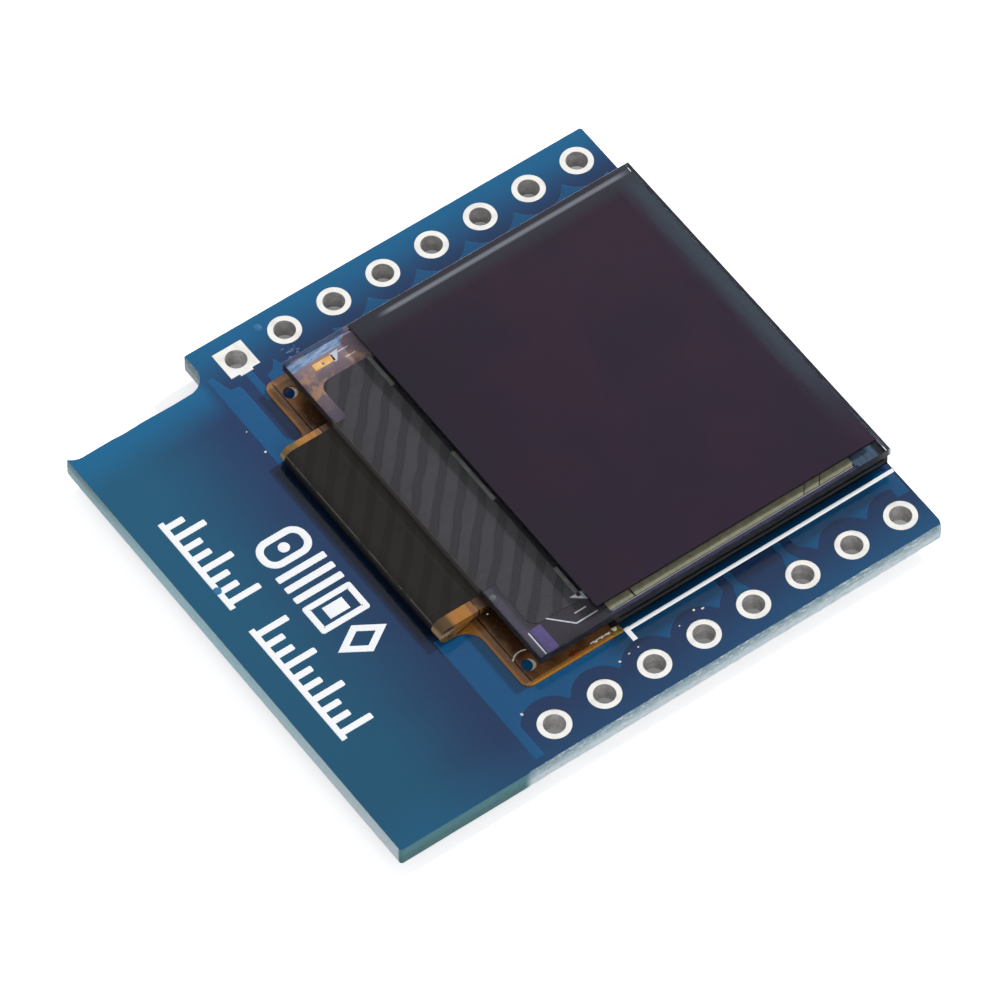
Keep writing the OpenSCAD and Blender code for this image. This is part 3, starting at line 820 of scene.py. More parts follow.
PALE_LINE = plain_finish("pale_wiring", (226, 228, 236), (196, 198, 210), 0.3, 0.3, 8.0)
STREAKED = streaked_finish()
GILT = plain_finish("gilt_copper", (255, 206, 132), (246, 174, 98), 0.3, 0.4, 3.0)
LILAC_HIGHLIGHT = plain_finish("lilac_rim", (176, 172, 196), (120, 118, 140), 0.3, 0.3, 2.0)
LEDGE_LAYER = ledge_layer_finish()
TENTED = plain_finish("tented_via", (52, 118, 168), (38, 100, 148), 0.25, 0.3, 3.0)
EMISSIVE = plain_finish("emissive_stack", (58, 50, 62), (44, 38, 50), 0.3)
DESICCANT = plain_finish("desiccant", (222, 220, 212), (200, 198, 188), 0.8, 0.2, 9.0)
BOND = plain_finish("conductive_bond", (18, 16, 20), (34, 31, 36), 0.4, 0.1, 6.0)
BOND_BRIGHT = plain_finish("bright_bond", (124, 127, 122), (98, 101, 96), 0.4, 0.3, 3.0)
HAZE = plain_finish("thin_flux", (104, 132, 172), (64, 100, 148), 0.3, 0.3, 8.0)
FLUX_AND_GLINTS = plain_finish("dried_flux_and_glints", (232, 230, 220), (196, 190, 170), 0.2, 0.5, 8.0)
RUSSET = plain_finish("burnt_flux", (132, 58, 24), (84, 40, 18), 0.3, 0.4, 4.0)
OLIVE = plain_finish("amber_flux", (150, 122, 48), (96, 80, 34), 0.2, 0.5, 4.0)
SILICON = plain_finish("silicon", (78, 80, 88), (60, 62, 72), 0.18, 0.5, 2.0, 0.002)
RESIN = plain_finish("black_resin", (26, 26, 27), (38, 37, 37), 0.3, 0.5, 3.0, 0.02)
FOAM = plain_finish("foam_tape", (44, 44, 46), (30, 30, 32), 0.85, 0.2, 12.0, 0.04)
CERAMIC = plain_finish("capacitor_ceramic", (174, 146, 112), (152, 124, 92), 0.5, 0.35, 9.0, 0.01)
BARREL = plain_finish("plated_barrel", (206, 202, 201), (176, 172, 172), 0.4, 0.4, 4.0, 0.006, 0.25)


# ---------------------------------------------------------------- the board

def board_outline():
    """The board's outline, anticlockwise, with the notch that a milling cutter left."""
    (x0, y0, _), (x1, y1, _) = BOARD_LOW, BOARD_HIGH
    r = CORNER_R
    middle_y = NOTCH_FLOOR + NOTCH_R
    horn = -180 + math.degrees(math.acos((NOTCH_START - x0) / NOTCH_R))
    return (
        arc(x0 + r, y0 + r, r, 180, 270, 6)
        + arc(x1 - r, y0 + r, r, 270, 360, 6)
        + arc(x1 - r, y1 - r, r, 0, 90, 6)
        + [(NOTCH_SIDE, y1)]
        + arc(NOTCH_SIDE - NOTCH_R, middle_y, NOTCH_R, 0, -90, 14)
        + arc(NOTCH_START, middle_y, NOTCH_R, -90, horn, 8)
    )


def rough_edge(outline, z):
    """How far each point of the board's edge stands back at one height: milled, broken or torn."""
    depth = []
    up = (z - BOARD_LOW[2]) / (BOARD_HIGH[2] - BOARD_LOW[2])
    lips = 0.012 * (up < 0.02 or up > 0.98)
    for x, y in outline:
        ripple = 0.5 + 0.5 * wobble(x, y, z * 2.2, 2.6)
        grain = 0.5 + 0.5 * wobble(x, y, z * 4.0, 9.0, 3.0)
        broken = y < BOARD_LOW[1] + 0.2 and x > PIN_X[0] - 2.2
        in_notch = y > NOTCH_FLOOR - 0.02 and x < NOTCH_SIDE + 0.05
        size = 0.05 if broken else 0.03 if in_notch else 0.014
        on_floor = in_notch and y < NOTCH_FLOOR + 0.02
        teeth = 0.05 * max(0.0, wobble(x, 0, 0, 0.9, 5.0)) if on_floor else 0.0
        groove = 0.03 * max(0.0, up - 0.7) / 0.3 if broken else 0.0
        depth.append(size * (0.7 * ripple + 0.3 * grain) + teeth + groove + lips)
    return np.array(depth)


def printed_board():
    """The board, drilled for the plating."""
    outline = resample(board_outline(), 0.1)
    holes = [circle(x, y, HOLE_R + PLATING)[::-1] for x, y, _ in PADS.values()]
    heights = np.linspace(BOARD_LOW[2], BOARD_HIGH[2], 13)
    levels = [(z, [rough_edge(outline, z)] + [0.0] * len(holes)) for z in heights]
    build = Builder()
    build.loft([outline] + holes, levels, slot=1, end_slot=0)
    build.finish("board", [MASK, LAMINATE], "solder_mask_board", "printed_board")


# ---------------------------------------------------------------- copper under the mask

COPPER_H = 0.018
COPPER_SLOPE = 0.05
CLEARANCE_R = 1.44
TRACE_W = 0.25
POUR_LEFT = PIN_X[0] - 1.61
POUR_RIGHT = BOARD_HIGH[0] - 0.55
POUR_Y = ROW_Y - 0.74


def clearances():
    """The bare rings round the pads, which the pours leave free."""
    return union(disc(x, y, CLEARANCE_R) for x, y, _ in PADS.values())


def teardrop(x, y, towards_y):
    """A trace that leaves a pad along Y and widens where it meets it."""
    sign = 1 if towards_y > y else -1
    foot = y + sign * (PAD_D / 2 - 0.1)
    neck = foot + sign * 0.62
    half = TRACE_W / 2
    flare = polygon([(x - 0.34, foot), (x + 0.34, foot), (x + half, neck), (x - half, neck)])
    return flare | block(x - half, min(neck, towards_y), x + half, max(neck, towards_y))


def top_copper():
    """The upper pour with its gaps, and the strips and tracks beside it."""
    field = block(POUR_LEFT, -POUR_Y, POUR_RIGHT, POUR_Y) | block(POUR_LEFT, -POUR_Y, PIN_X[0], POUR_Y + 0.42)
    gap = polygon(
        [(POUR_LEFT + 0.25, POUR_Y + 0.5), (POUR_LEFT + 0.35, POUR_Y - 0.2), (POUR_LEFT + 0.5, POUR_Y - 0.54)]
        + [(POUR_LEFT + 0.85, POUR_Y - 0.6), (POUR_LEFT + 0.93, POUR_Y - 0.7), (POUR_LEFT + 0.93, 6.9)]
        + arc(POUR_LEFT + 1.4, 6.9, 0.47, 180, 270, 8)
        + [(-0.9, 6.43), (-0.9, POUR_Y + 0.5)]
    )
    tracks_gap = block(PIN_X[4] - 0.67, -POUR_Y - 0.3, PIN_X[5] + 0.68, -GLASS_HIGH[1])
    under_bend = block(POUR_LEFT - 0.1, COVER_Y0 - 0.4, BEND_X, COVER_Y1 + 0.3)
    pour = field - clearances() - gap - tracks_gap - under_bend
    strip = block(POUR_LEFT, -BOARD_HIGH[1] + 0.45, POUR_LEFT + 0.36, -POUR_Y + 0.3)
    end_strip = block(BOARD_HIGH[0] - 0.7, -POUR_Y + 0.1, BOARD_HIGH[0] - 0.2, -9.3)
    patch = polygon(
        [(-4.5, 9.45), (-3.95, 9.45), (-3.95, 9.85), (-3.72, 10.0)]
        + [(-3.86, 10.42), (-4.12, 10.02), (-4.5, 9.9)]
    )
    tracks = teardrop(PIN_X[4], -ROW_Y, -9.2) | teardrop(PIN_X[5], -ROW_Y, -9.2)
    first = stroke([(PIN_X[0] + 0.03, ROW_Y - 0.9), (PIN_X[0] + 0.03, 9.0)], TRACE_W)
    return pour | strip | end_strip | patch | tracks | first


def bottom_copper():
    """The lower pour, free round the chip parts, with short runs from the parts."""
    lands = [block(*around(box, 0.65, 0.35), 0.2) for box in CHIPS]
    lands.append(block(*around(corners("jumper_pads"), 0.35, 0.35), 0.2))
    field = block(BOARD_LOW[0] + 5.2, -POUR_Y, POUR_RIGHT, POUR_Y)
    pour = field - clearances() - union(lands)
    runs = []
    for low, high in CAPACITORS.values():
        side = 1 if low[1] > 0 else -1
        y = (low[1] + high[1]) / 2
        pin = min(PIN_X, key=lambda x: abs(x - low[0]))
        runs.append(stroke([(low[0] - 0.1, y), (pin, y + side * 0.9), (pin, side * (ROW_Y - 0.75))], TRACE_W))
        runs.append(stroke([(high[0] + 0.1, y), (high[0] + 0.75, y)], 0.4))
    for low, high in RESISTORS.values():
        y = (low[1] + high[1]) / 2
        runs.append(stroke([(high[0] + 0.1, y), (high[0] + 0.8, y)], TRACE_W))
        runs.append(stroke([(low[0] - 0.1, y), (low[0] - 1.1, y), (low[0] - 1.6, y + 0.5)], TRACE_W))
    return pour | union(runs)


def copper():
    """Both faces' copper, raised under the mask."""
    for name, shape, face, up in (
        ("top_copper_under_mask", top_copper(), BOARD_HIGH[2], 1),
        ("bottom_copper_under_mask", bottom_copper(), BOARD_LOW[2], -1),
    ):
        build = Builder()
        build.relief(shape, face, COPPER_H, COPPER_SLOPE, up)
        build.finish(name, [MASK_COPPER], "solder_mask_board")


# ---------------------------------------------------------------- the legend

LEGEND_W = 0.3
LEGEND_H = 0.014
LEGEND_SLOPE = 0.02
MARKS_X = -9.05
MARKS_Y = 2.3
MARKS_PITCH = 1.88
MARK_SIZE = (2.4, 1.55)
RULER_X = (-12.65, -10.95)
OUTLINE_W = 0.13


def target_mark(x, y, width, height):
    """A rounded ring with a dot in it."""
    outer = rounded(*centred(x, y, width, height), min(width, height) * 0.45, 16)
    return ring(outer, LEGEND_W) | disc(x, y, LEGEND_W * 0.8)


def bars_mark(x, y, width, height):
    """Three bars."""
    pitch = (height - LEGEND_W) / 2
    return union(block(*centred(x, y + i * pitch, width, LEGEND_W), 0.05) for i in (-1, 0, 1))


def frame_mark(x, y, width, height):
    """A frame round a small block."""
    outer = rounded(*centred(x, y, width, height), 0.12)
    return ring(outer, LEGEND_W * 0.9) | block(*centred(x, y, 2 * width / 5, 2 * height / 5))


def diamond_mark(x, y, width, height):
    """A diamond's outline."""
    x0, y0, x1, y1 = centred(x, y, width, height)
    return ring([(x, y0), (x1, y), (x, y1), (x0, y)], LEGEND_W * 0.9)


def ruler_mark(y0, y1, count):
    """A short scale: a base line with ticks, and every third tick long."""
    x0, x1 = RULER_X
    base = block(x0, y0, x0 + LEGEND_W * 0.8, y1)
    ticks = []
    for i in range(count):
        y = y0 + (i + 0.5) * (y1 - y0) / count
        reach = x1 if i % 3 == 0 else x0 + (x1 - x0) * 0.62
        ticks.append(block(x0, y - LEGEND_W / 2.2, reach, y + LEGEND_W / 2.2, 0.05))
    return base | union(ticks)


def top_legend():
    """The white ink: plain marks where such boards carry words, and the line beside the display."""
    z = BOARD_HIGH[2]
    build = Builder()
    for number, mark in enumerate((target_mark, bars_mark, frame_mark, diamond_mark)):
        build.relief(mark(MARKS_X, MARKS_Y - number * MARKS_PITCH, *MARK_SIZE), z, LEGEND_H, LEGEND_SLOPE)
    build.relief(ruler_mark(1.0, 6.27, 8), z, LEGEND_H, LEGEND_SLOPE)
    build.relief(ruler_mark(-7.0, -0.33, 10), z, LEGEND_H, LEGEND_SLOPE)
    line = block(0.0, -9.48, 13.78, -9.33) | block(-0.08, -10.0, 0.12, -9.3)
    build.relief(line, z + COPPER_H, LEGEND_H, LEGEND_SLOPE)
    build.finish("top_legend", [SILK], "solder_mask_board")


def bottom_legend():
    """Two short brackets round each chip part, and a frame round the jumper."""
    z, height = BOARD_LOW[2], LEGEND_H + COPPER_H
    build = Builder()
    for box in CHIPS:
        middle_x = (box[0][0] + box[1][0]) / 2
        brackets = ring(rounded(*around(box, 0.6, 0.3), 0.15), OUTLINE_W)
        brackets = brackets & block(middle_x - 0.45, -FAR, middle_x + 0.45, FAR)
        build.relief(brackets, z, height, LEGEND_SLOPE, -1)
    outline = ring(rounded(*around(corners("jumper_pads"), 0.3, 0.3), 0.15), OUTLINE_W)
    build.relief(outline, z, height, LEGEND_SLOPE, -1)
    build.finish("bottom_legend", [SILK], "solder_mask_board")


# ---------------------------------------------------------------- plated holes

PAD_RISE = ((0.0, 0.0), (0.45, 0.004), (0.75, 0.02), (0.92, 0.05), (1.0, 0.1))


def pad_outline(name, x, y):
    """A round pad, or the first one's square with its short neck."""
    if name != "plated_hole_a1":
        return circle(x, y, PAD_D / 2)
    half, neck = PAD_D / 2, NECK_PAD_W / 2
    square = [(half, -half), (half, half), (-half, half), (-half, -half)]
    foot = [(-neck, -half), (-neck, -half - NECK_PAD_L), (neck, -half - NECK_PAD_L), (neck, -half)]
    return resample([(x + dx, y + dy) for dx, dy in square + foot], 0.3)


def plated_holes():
    """Each hole: two low domed pads of tin, and the rounded barrel between them."""
    for number, (name, (x, y, _)) in enumerate(PADS.items()):
        build = Builder()
        bore = circle(x, y, HOLE_R)[::-1]
        outline = pad_outline(name, x, y)
        ragged = np.array([0.006 + 0.006 * wobble(px, py, 0, 2.0, number) for px, py in outline])
        for sign, face in ((1, BOARD_HIGH[2]), (-1, BOARD_LOW[2])):
            levels = [(face + sign * PAD_T * share, [ragged + step, step * 0.8]) for share, step in PAD_RISE]
            build.loft([outline, bore], levels[::sign])
        barrel = []
        for z in np.linspace(BOARD_LOW[2], BOARD_HIGH[2], 9):
            dents = np.array([0.004 * wobble(px, py, z, 3.0, 7.0 + number) for px, py in bore])
            barrel.append((z, [0.0, dents * (0 < z - BOARD_LOW[2] < 0.99)]))
        build.loft([circle(x, y, HOLE_R + PLATING), bore], barrel, slot=1)
        build.finish(name + "_tinned", [TINNED, BARREL], "tinned_copper", name, sharp=50)


# ---------------------------------------------------------------- the folded circuit

def around_bend(x, y, offset):
    """Takes a point of the unfolded circuit to its folded place. The tail lies past the bend, along -X."""
    turn = (BEND_X - x) / BEND_MID_R
    if turn <= 0:
        return x, y, BEND_Z + BEND_MID_R + offset
    if turn >= math.pi:
        return BEND_X + (BEND_X - BEND_LENGTH - x), y, BEND_Z - BEND_MID_R - offset
    reach = BEND_MID_R + offset
    return BEND_X - reach * math.sin(turn), y, BEND_Z + reach * math.cos(turn)


def unfolded(x):
    """The unfolded place of a point on the tail."""
    return 2 * BEND_X - BEND_LENGTH - x


def head_shape():
    """The end under the ledge, square where it meets the cap, with fillets at the neck."""
    x0, y0, x1, y1 = HEAD
    webs = corner_web(x0, NECK_Y0, HEAD_FILLET_R, -1, -1) | corner_web(x0, NECK_Y1, HEAD_FILLET_R, -1, 1)
    square_end = block(x1 - HEAD_CORNER_R, y0, x1, y1)
    return block(x0, y0, x1, y1, HEAD_CORNER_R) | square_end | webs


def tail_shape():
    """The end on the board, unfolded, with its locating holes and fillets at the neck."""
    x0, y0, x1, y1 = unfolded(TAIL[2]), TAIL[1], unfolded(TAIL[0]), TAIL[3]
    webs = corner_web(x1, NECK_Y0, TAIL_FILLET_R, 1, -1) | corner_web(x1, NECK_Y1, TAIL_FILLET_R, 1, 1)
    square_end = block(x0, y0, x0 + TAIL_CORNER_R, y1)
    holes = union(disc(unfolded(LOCATOR_X), y, LOCATOR_R, 40) for y in LOCATOR_YS)
    return (block(x0, y0, x1, y1, TAIL_CORNER_R) | square_end | webs) - holes


def bend_guides(y0, y1, wrap, steps):
    """Lines across the neck that let the sheet bend smoothly."""
    return [((x, y0 + 0.001), (x, y1 - 0.001)) for x in BEND_X - np.linspace(0, wrap, steps) * BEND_MID_R]


def folded_circuit():
    """The circuit, and the black film on its head, neck and bend."""
    neck = block(unfolded(TAIL[0]) - 0.3, NECK_Y0, HEAD[0] + 0.6, NECK_Y1)
    guides = bend_guides(NECK_Y0, NECK_Y1, math.pi, 33)
    build = Builder()
    build.sheet(head_shape() | tail_shape() | neck, guides, around_bend, -FLEX_T / 2, FLEX_T / 2)
    build.finish("flexible_circuit", [POLYIMIDE], "polyimide", "flex_circuit", sharp=50)

    short = block(BEND_X - COVER_WRAP * BEND_MID_R, COVER_Y0, HEAD[0] + 0.6, COVER_Y1)
    cover = (head_shape() - block(COVER_X1, -FAR, HEAD[2] + 1, FAR)) | short
    guides = bend_guides(COVER_Y0, COVER_Y1, COVER_WRAP - 0.001, 25)
    build = Builder()
    build.sheet(cover, guides, around_bend, FLEX_T / 2, FLEX_T / 2 + COVER_T)
    build.finish("cover_film", [FILM], "black_film", "flex_cover_film", sharp=50)


def solder_wedge(build, x, y, z, length, width, height, toe, side=1, up=1):
    """A concave fillet of solder that runs down from a wall at x, towards one side."""
    grid = []
    for v in np.linspace(-1, 1, 9):
        row = []
        for u in np.linspace(0, 1, 8):
            rise = toe + (height - toe) * (1 - u) ** 2
            rise *= 1 - 0.9 * abs(v) ** 5
            out = side * u * length * (1 - 0.12 * v * v)
            spread = width / 2 * (1 - 0.15 * u * u)
            row.append((x + out, y + v * spread, z + up * max(rise, 0.002)))
        grid.append(row)
    build.surface(grid if side * up > 0 else grid[::-1])


def tail_joints():
    """A contact and a fillet of solder for each track at the tail's end."""
    middle = (TAIL[1] + TAIL[3]) / 2
    top = BOARD_HIGH[2] + FLEX_T
    build = Builder()
    for i in range(CONTACT_COUNT):
        y = middle + (i - (CONTACT_COUNT - 1) / 2) * CONTACT_PITCH
        solder_wedge(build, TAIL[2], y, BOARD_HIGH[2], CONTACT_L, CONTACT_W, 0.14, 0.03)
        contact = rounded(TAIL[2] - 0.5, y - CONTACT_W / 2, TAIL[2] + 0.02, y + CONTACT_W / 2, 0.12, 4)
        build.loft([contact], [(top, 0.0), (top + 0.02, 0.01), (top + 0.035, 0.05)])
    build.finish("tail_solder", [SOLDER], "solder", "tail_solder_joints")


# ---------------------------------------------------------------- the display panel

SKIN = 0.004
GLUED = 0.012
CAP_RIM = 1.2
CAP_HOLLOW = 0.3


def ground_edge(low, high, seed):
    """A pane's outline, and a small unevenness along its cut edge."""
    outline = resample([(low[0], low[1]), (high[0], low[1]), (high[0], high[1]), (low[0], high[1])], 0.3)
    chips = [max(0.0, wobble(x, y, seed, 1.3, seed)) * 0.012 for x, y in outline]
    return outline, np.array(chips)


def front_glass():
    """The front pane, let into the glue below it and a hair under the film."""
    outline, chips = ground_edge(GLASS_LOW, GLASS_HIGH, 2.0)
    low, top = GLASS_LOW[2] - GLUED, GLASS_HIGH[2] - SKIN
    lower = [(low, chips + 0.03), (low + 0.03, chips * 0.3)]
    upper = [(top - 0.025, chips * 0.4), (top, chips + 0.025)]
    build = Builder()
    build.loft([outline], lower + upper, slot=1, end_slot=0)
    build.finish("front_pane", [CLEAR_GLASS, GROUND_EDGE], "clear_glass", "front_glass", sharp=25)


def polarizer():
    """The film on the front pane, with a softly rounded upper edge."""
    outline, chips = ground_edge(FILM_LOW, FILM_HIGH, 9.0)
    chips = chips * 0.5
    top = FILM_HIGH[2]
    upper = [(top - 0.015, chips), (top - 0.004, chips + 0.006), (top, chips + 0.02)]
    build = Builder()
    build.loft([outline], [(FILM_LOW[2], chips)] + upper)
    build.finish("polarizing_film", [POLARIZER], "polarizing_film", "polarizer", sharp=25)


def rear_cap():
    """The cap behind the lit area, ground and chipped along its lower edge, with its hollow on top."""
    outline, chips = ground_edge(CAP_LOW, CAP_HIGH, 4.0)
    pocket = rounded(*(CAP_LOW[:2] + CAP_RIM), *(CAP_HIGH[:2] - CAP_RIM), 0.3)
    low, top = CAP_LOW[2], CAP_HIGH[2]
    middle = top - CAP_HOLLOW
    build = Builder()
    build.loft([outline], [(low, chips * 2 + 0.04), (low + 0.05, chips), (middle, chips * 0.5)])
    rim = [(middle, [chips * 0.5, 0.0]), (top, [chips * 0.5 + 0.01, 0.0])]
    build.loft([outline, pocket[::-1]], rim)
    build.finish("cap_pane", [DARK_GLASS], "dark_glass", "rear_cap", sharp=25)


# ---------------------------------------------------------------- what shows through the front glass

GLASS_Y0 = GLASS_LOW[1]
GLASS_Y1 = GLASS_HIGH[1]
MARK_Z = GLASS_LOW[2] + 0.001
MARK_H = SKIN * 0.8


def under_glass(name, material, slot, *shapes, slope=0.004):
    """One piece of thin fields or lines against the front glass's underside."""
    build = Builder()
    for shape in shapes:
        build.relief(shape, MARK_Z, MARK_H, slope)
    build.finish(name, [material], slot)


def ledge_dark_layer():
    """A dark layer behind the ledge, wherever the circuit's head and neck don't cover it."""
    covered = block(HEAD[0] - 0.02, HEAD[1] - 0.02, HEAD[2], HEAD[3] + 0.02, HEAD_CORNER_R)
    covered = covered | block(GLASS_LOW[0] - 1, COVER_Y0 - 0.02, HEAD[2], COVER_Y1 + 0.02)
    field = block(GLASS_LOW[0] + 0.06, GLASS_Y0 + 0.1, CAP_LOW[0], GLASS_Y1 - 0.06) - covered
    build = Builder()
    build.relief(field, GLASS_LOW[2] - 0.002, 0.003, 0.002)
    build.finish("ledge_dark_layer", [LEDGE_LAYER], "clear_glass")


def rim_fields():
    """The shaded rims beside the film, and the thin lilac lines along the glass's far edges, which are
    painted highlights.
    """
    under_glass(
        "shaded_rims", RIM_SHADE, "clear_glass",
        block(FILM_HIGH[0] - 0.1, GLASS_Y0 + 0.06, GLASS_HIGH[0] - 0.07, GLASS_Y1 - 0.04),
        block(GLASS_LOW[0] + 3.4, FILM_HIGH[1] - 0.02, FILM_HIGH[0] - 0.1, GLASS_Y1 - 0.04),
        slope=0.003,
    )
    # Painted highlights: thin pale lines along the glass's +X and +Y edges.
    under_glass(
        "lilac_rim_highlights", LILAC_HIGHLIGHT, "clear_glass",
        block(GLASS_HIGH[0] - 0.06, GLASS_Y0 + 0.5, GLASS_HIGH[0] - 0.025, GLASS_Y1 - 0.3),
        block(GLASS_LOW[0] + 2.6, GLASS_Y1 - 0.03, GLASS_LOW[0] + 3.9, GLASS_Y1 - 0.01),
        slope=0.003,
    )


def low_side_strips():
    """Along the -Y side: the glue line with its cuts, the glue over wiring, and the wiring's comb."""
    low, high = GLASS_Y0 + 0.44, GLASS_Y0 + 0.9
    glue = polygon([(-0.35, low), (12.1, low), (12.35, high), (-0.35, high)])
    glue = glue - block(0.86, GLASS_Y0 + 0.3, 0.95, GLASS_Y0 + 1.0)
    for x in (9.6, 10.4):
        glue = glue - stroke([(x - 0.05, GLASS_Y0 + 0.38), (x + 0.4, GLASS_Y0 + 0.95)], 0.05)
    under_glass("glue_line", SEAL, "seal_glue", glue)
    wired = block(-0.5, GLASS_Y0 + 0.15, 12.3, GLASS_Y0 + 0.33)
    under_glass("glue_over_wiring", SEAL_BLUE, "seal_glue", wired)
    comb = union(block(12.2 + 0.3 * i, GLASS_Y0 + 0.1, 12.475 + 0.3 * i, GLASS_Y0 + 0.95) for i in range(4))
    under_glass("wiring_fields", LEDGE, "clear_glass", comb)


def ledge_marks():
    """The streaked wiring, the bare purple field, and the pale lines at the ledge's two ends."""
    streaks = polygon([(-4.1, 8.75), (-1.5, 8.86), (-1.1, 9.24), (-4.1, 9.24)])
    under_glass("streaked_wiring", STREAKED, "clear_glass", streaks, slope=0.003)
    under_glass("oxide_marks", PURPLE, "clear_glass", block(-3.66, -9.02, -3.1, -7.62))
    under_glass(
        "pale_lines", PALE_LINE, "clear_glass",
        stroke([(-3.76, -8.934), (-3.76, -7.724)], 0.06),
        stroke([(-2.725, -7.544), (-1.855, -8.454), (-0.8, -8.444)], 0.06),
        stroke([(-1.605, -8.004), (-1.065, -8.004)], 0.05),
        stroke([(-1.895, 8.6), (-1.345, 8.6)], 0.05),
        stroke([(-1.695, 8.176), (-1.245, 8.176)], 0.05),
        polygon([(-2.24, 8.24), (-2.1, 8.24), (-1.78, 8.74), (-2.2, 8.7)]),
        polygon([(-1.345, -7.25), (-0.745, -7.25), (-0.745, -7.75)]),
        block(-0.3, GLASS_Y0 + 0.37, 12.1, GLASS_Y0 + 0.39),
    )


def contacts():
    """The gilt contact at the ledge's +Y end with a painted glint along the glass's edge beside it, and the
    bright dashes of bond along the head.
    """
    build = Builder()
    contact = block(-3.145, 8.296, -2.145, 8.646, 0.04) - disc(-2.695, 8.446, 0.07, 20)
    build.relief(contact, MARK_Z, MARK_H, 0.004)
    # A painted glint: a thin gilt strip along the glass's +Y edge.
    build.relief(block(-3.75, 9.26, -3.1, 9.285), MARK_Z, MARK_H, 0.002)
    build.finish("gilt_contact", [GILT], "conductive_bond")

    dashes = [block(-1.04, low, -0.86, high) for low, high in ((5.83, 7.63), (-1.42, 1.58), (-7.42, -5.67))]
    under_glass("bond_dashes", BOND_BRIGHT, "conductive_bond", *dashes, disc(-3.9, -5.4, 0.14, 16))


# ---------------------------------------------------------------- parts under the board

def chip_part(name, box, body, slot):
    """A chip part: its body between two soldered end caps."""
    low, high = box
    skin = 0.012
    bottom, top = low[2] + skin, high[2] - skin
    build = Builder()
    core = rounded(low[0] + 0.05, low[1] + skin, high[0] - 0.05, high[1] - skin, 0.05, 4)
    build.loft([core], [(bottom, 0.03), (bottom + 0.03, 0.0), (top - 0.03, 0.0), (top, 0.03)])
    lower = [(low[2], 0.05), (low[2] + 0.02, 0.016), (low[2] + 0.06, 0.0)]
    cap_levels = lower + [(high[2] - 0.02, 0.0), (high[2], 0.02)]
    for x0, x1 in ((low[0], low[0] + PART_ENDS), (high[0] - PART_ENDS, high[0])):
        build.loft([rounded(x0, low[1], x1, high[1], 0.07, 4)], cap_levels, slot=1)
    build.finish(name + "_body", [body, SOLDER], slot, name, sharp=45)


def chip_parts():
    """The capacitors and the resistors."""
    for name, box in CAPACITORS.items():
        chip_part(name, box, CERAMIC, "capacitor_ceramic")
    glazed = resistor_finish(min(low[2] for low, _ in RESISTORS.values()) + GLAZE_T)
    for name, box in RESISTORS.items():
        chip_part(name, box, glazed, "resistor_body")


def part_solder():
    """The lands under the chip parts, and the solder that climbs their ends."""
    face = BOARD_LOW[2]
    build = Builder()
    for low, high in CHIPS:
        y = (low[1] + high[1]) / 2
        width = high[1] - low[1]
        height = min(FILLET_H, high[2] - low[2])
        for wall, side in ((low[0], -1), (high[0], 1)):
            x0, x1 = sorted((wall - side * LAND_IN, wall + side * LAND_OUT))
            land = rounded(x0, low[1] - LAND_WIDER / 2, x1, high[1] + LAND_WIDER / 2, 0.06, 4)
            build.loft([land], [(face - PAD_T, 0.02), (face - PAD_T / 2, 0.0), (face, 0.0)])
            solder_wedge(build, wall, y, face - PAD_T, LAND_OUT, width, height, PAD_T, side, up=-1)
    build.finish("part_solder", [SOLDER], "solder", "part_solder_joints")


def address_pads():
    """The jumper's bare pads."""
    low, high = corners("jumper_pads")
    pitch = (high[1] - low[1] - JUMPER_SIDE) / (JUMPER_COUNT - 1)
    levels = [(low[2], 0.08), (low[2] + 0.008, 0.03), (low[2] + 0.02, 0.0), (high[2], 0.0)]
    build = Builder()
    for i in range(JUMPER_COUNT):
        y = low[1] + i * pitch
        build.loft([rounded(low[0], y, high[0], y + JUMPER_SIDE, 0.1, 4)], levels)
    build.finish("address_pads", [TINNED], "tinned_copper", "jumper_pads")


# ---------------------------------------------------------------- small marks of use

FACE = BOARD_HIGH[2]
TAIL_TOP = FACE + FLEX_T


def board_specks():
    """Vias filled with mask, and solder splashed on the mask."""
    build = Builder()
    for x, y in ((-3.47, 12.19), (-12.55, 2.1)):
        build.dome(x, y, FACE - 0.002, 0.2, 0.07)
    build.finish("tented_vias", [TENTED], "solder_mask_board")

    build = Builder()
    spots = [(-6.92, 8.03), (-6.87, 6.73), (-5.95, -10.25), (-0.1, -10.35), (-0.6, -10.4), (-1.15, -10.5)]
    spots += [(1.9, -10.5), (2.85, -10.2), (3.2, -10.35)]
    for number, (x, y) in enumerate(spots):
        build.dome(x, y, FACE - 0.002, 0.045 + 0.02 * (number % 3), 0.03, 0.7 + 0.15 * (number % 4))
    for number in range(16):
        x = -0.35 + 0.13 * number + 0.05 * wobble(number, 0, 0, 0.7)
        y = -9.3 + 0.06 * wobble(0, number, 0, 0.9)
        build.dome(x, y, FACE - 0.002, 0.018 + 0.012 * (number % 3), 0.03)
    build.finish("solder_specks", [SOLDER], "solder")


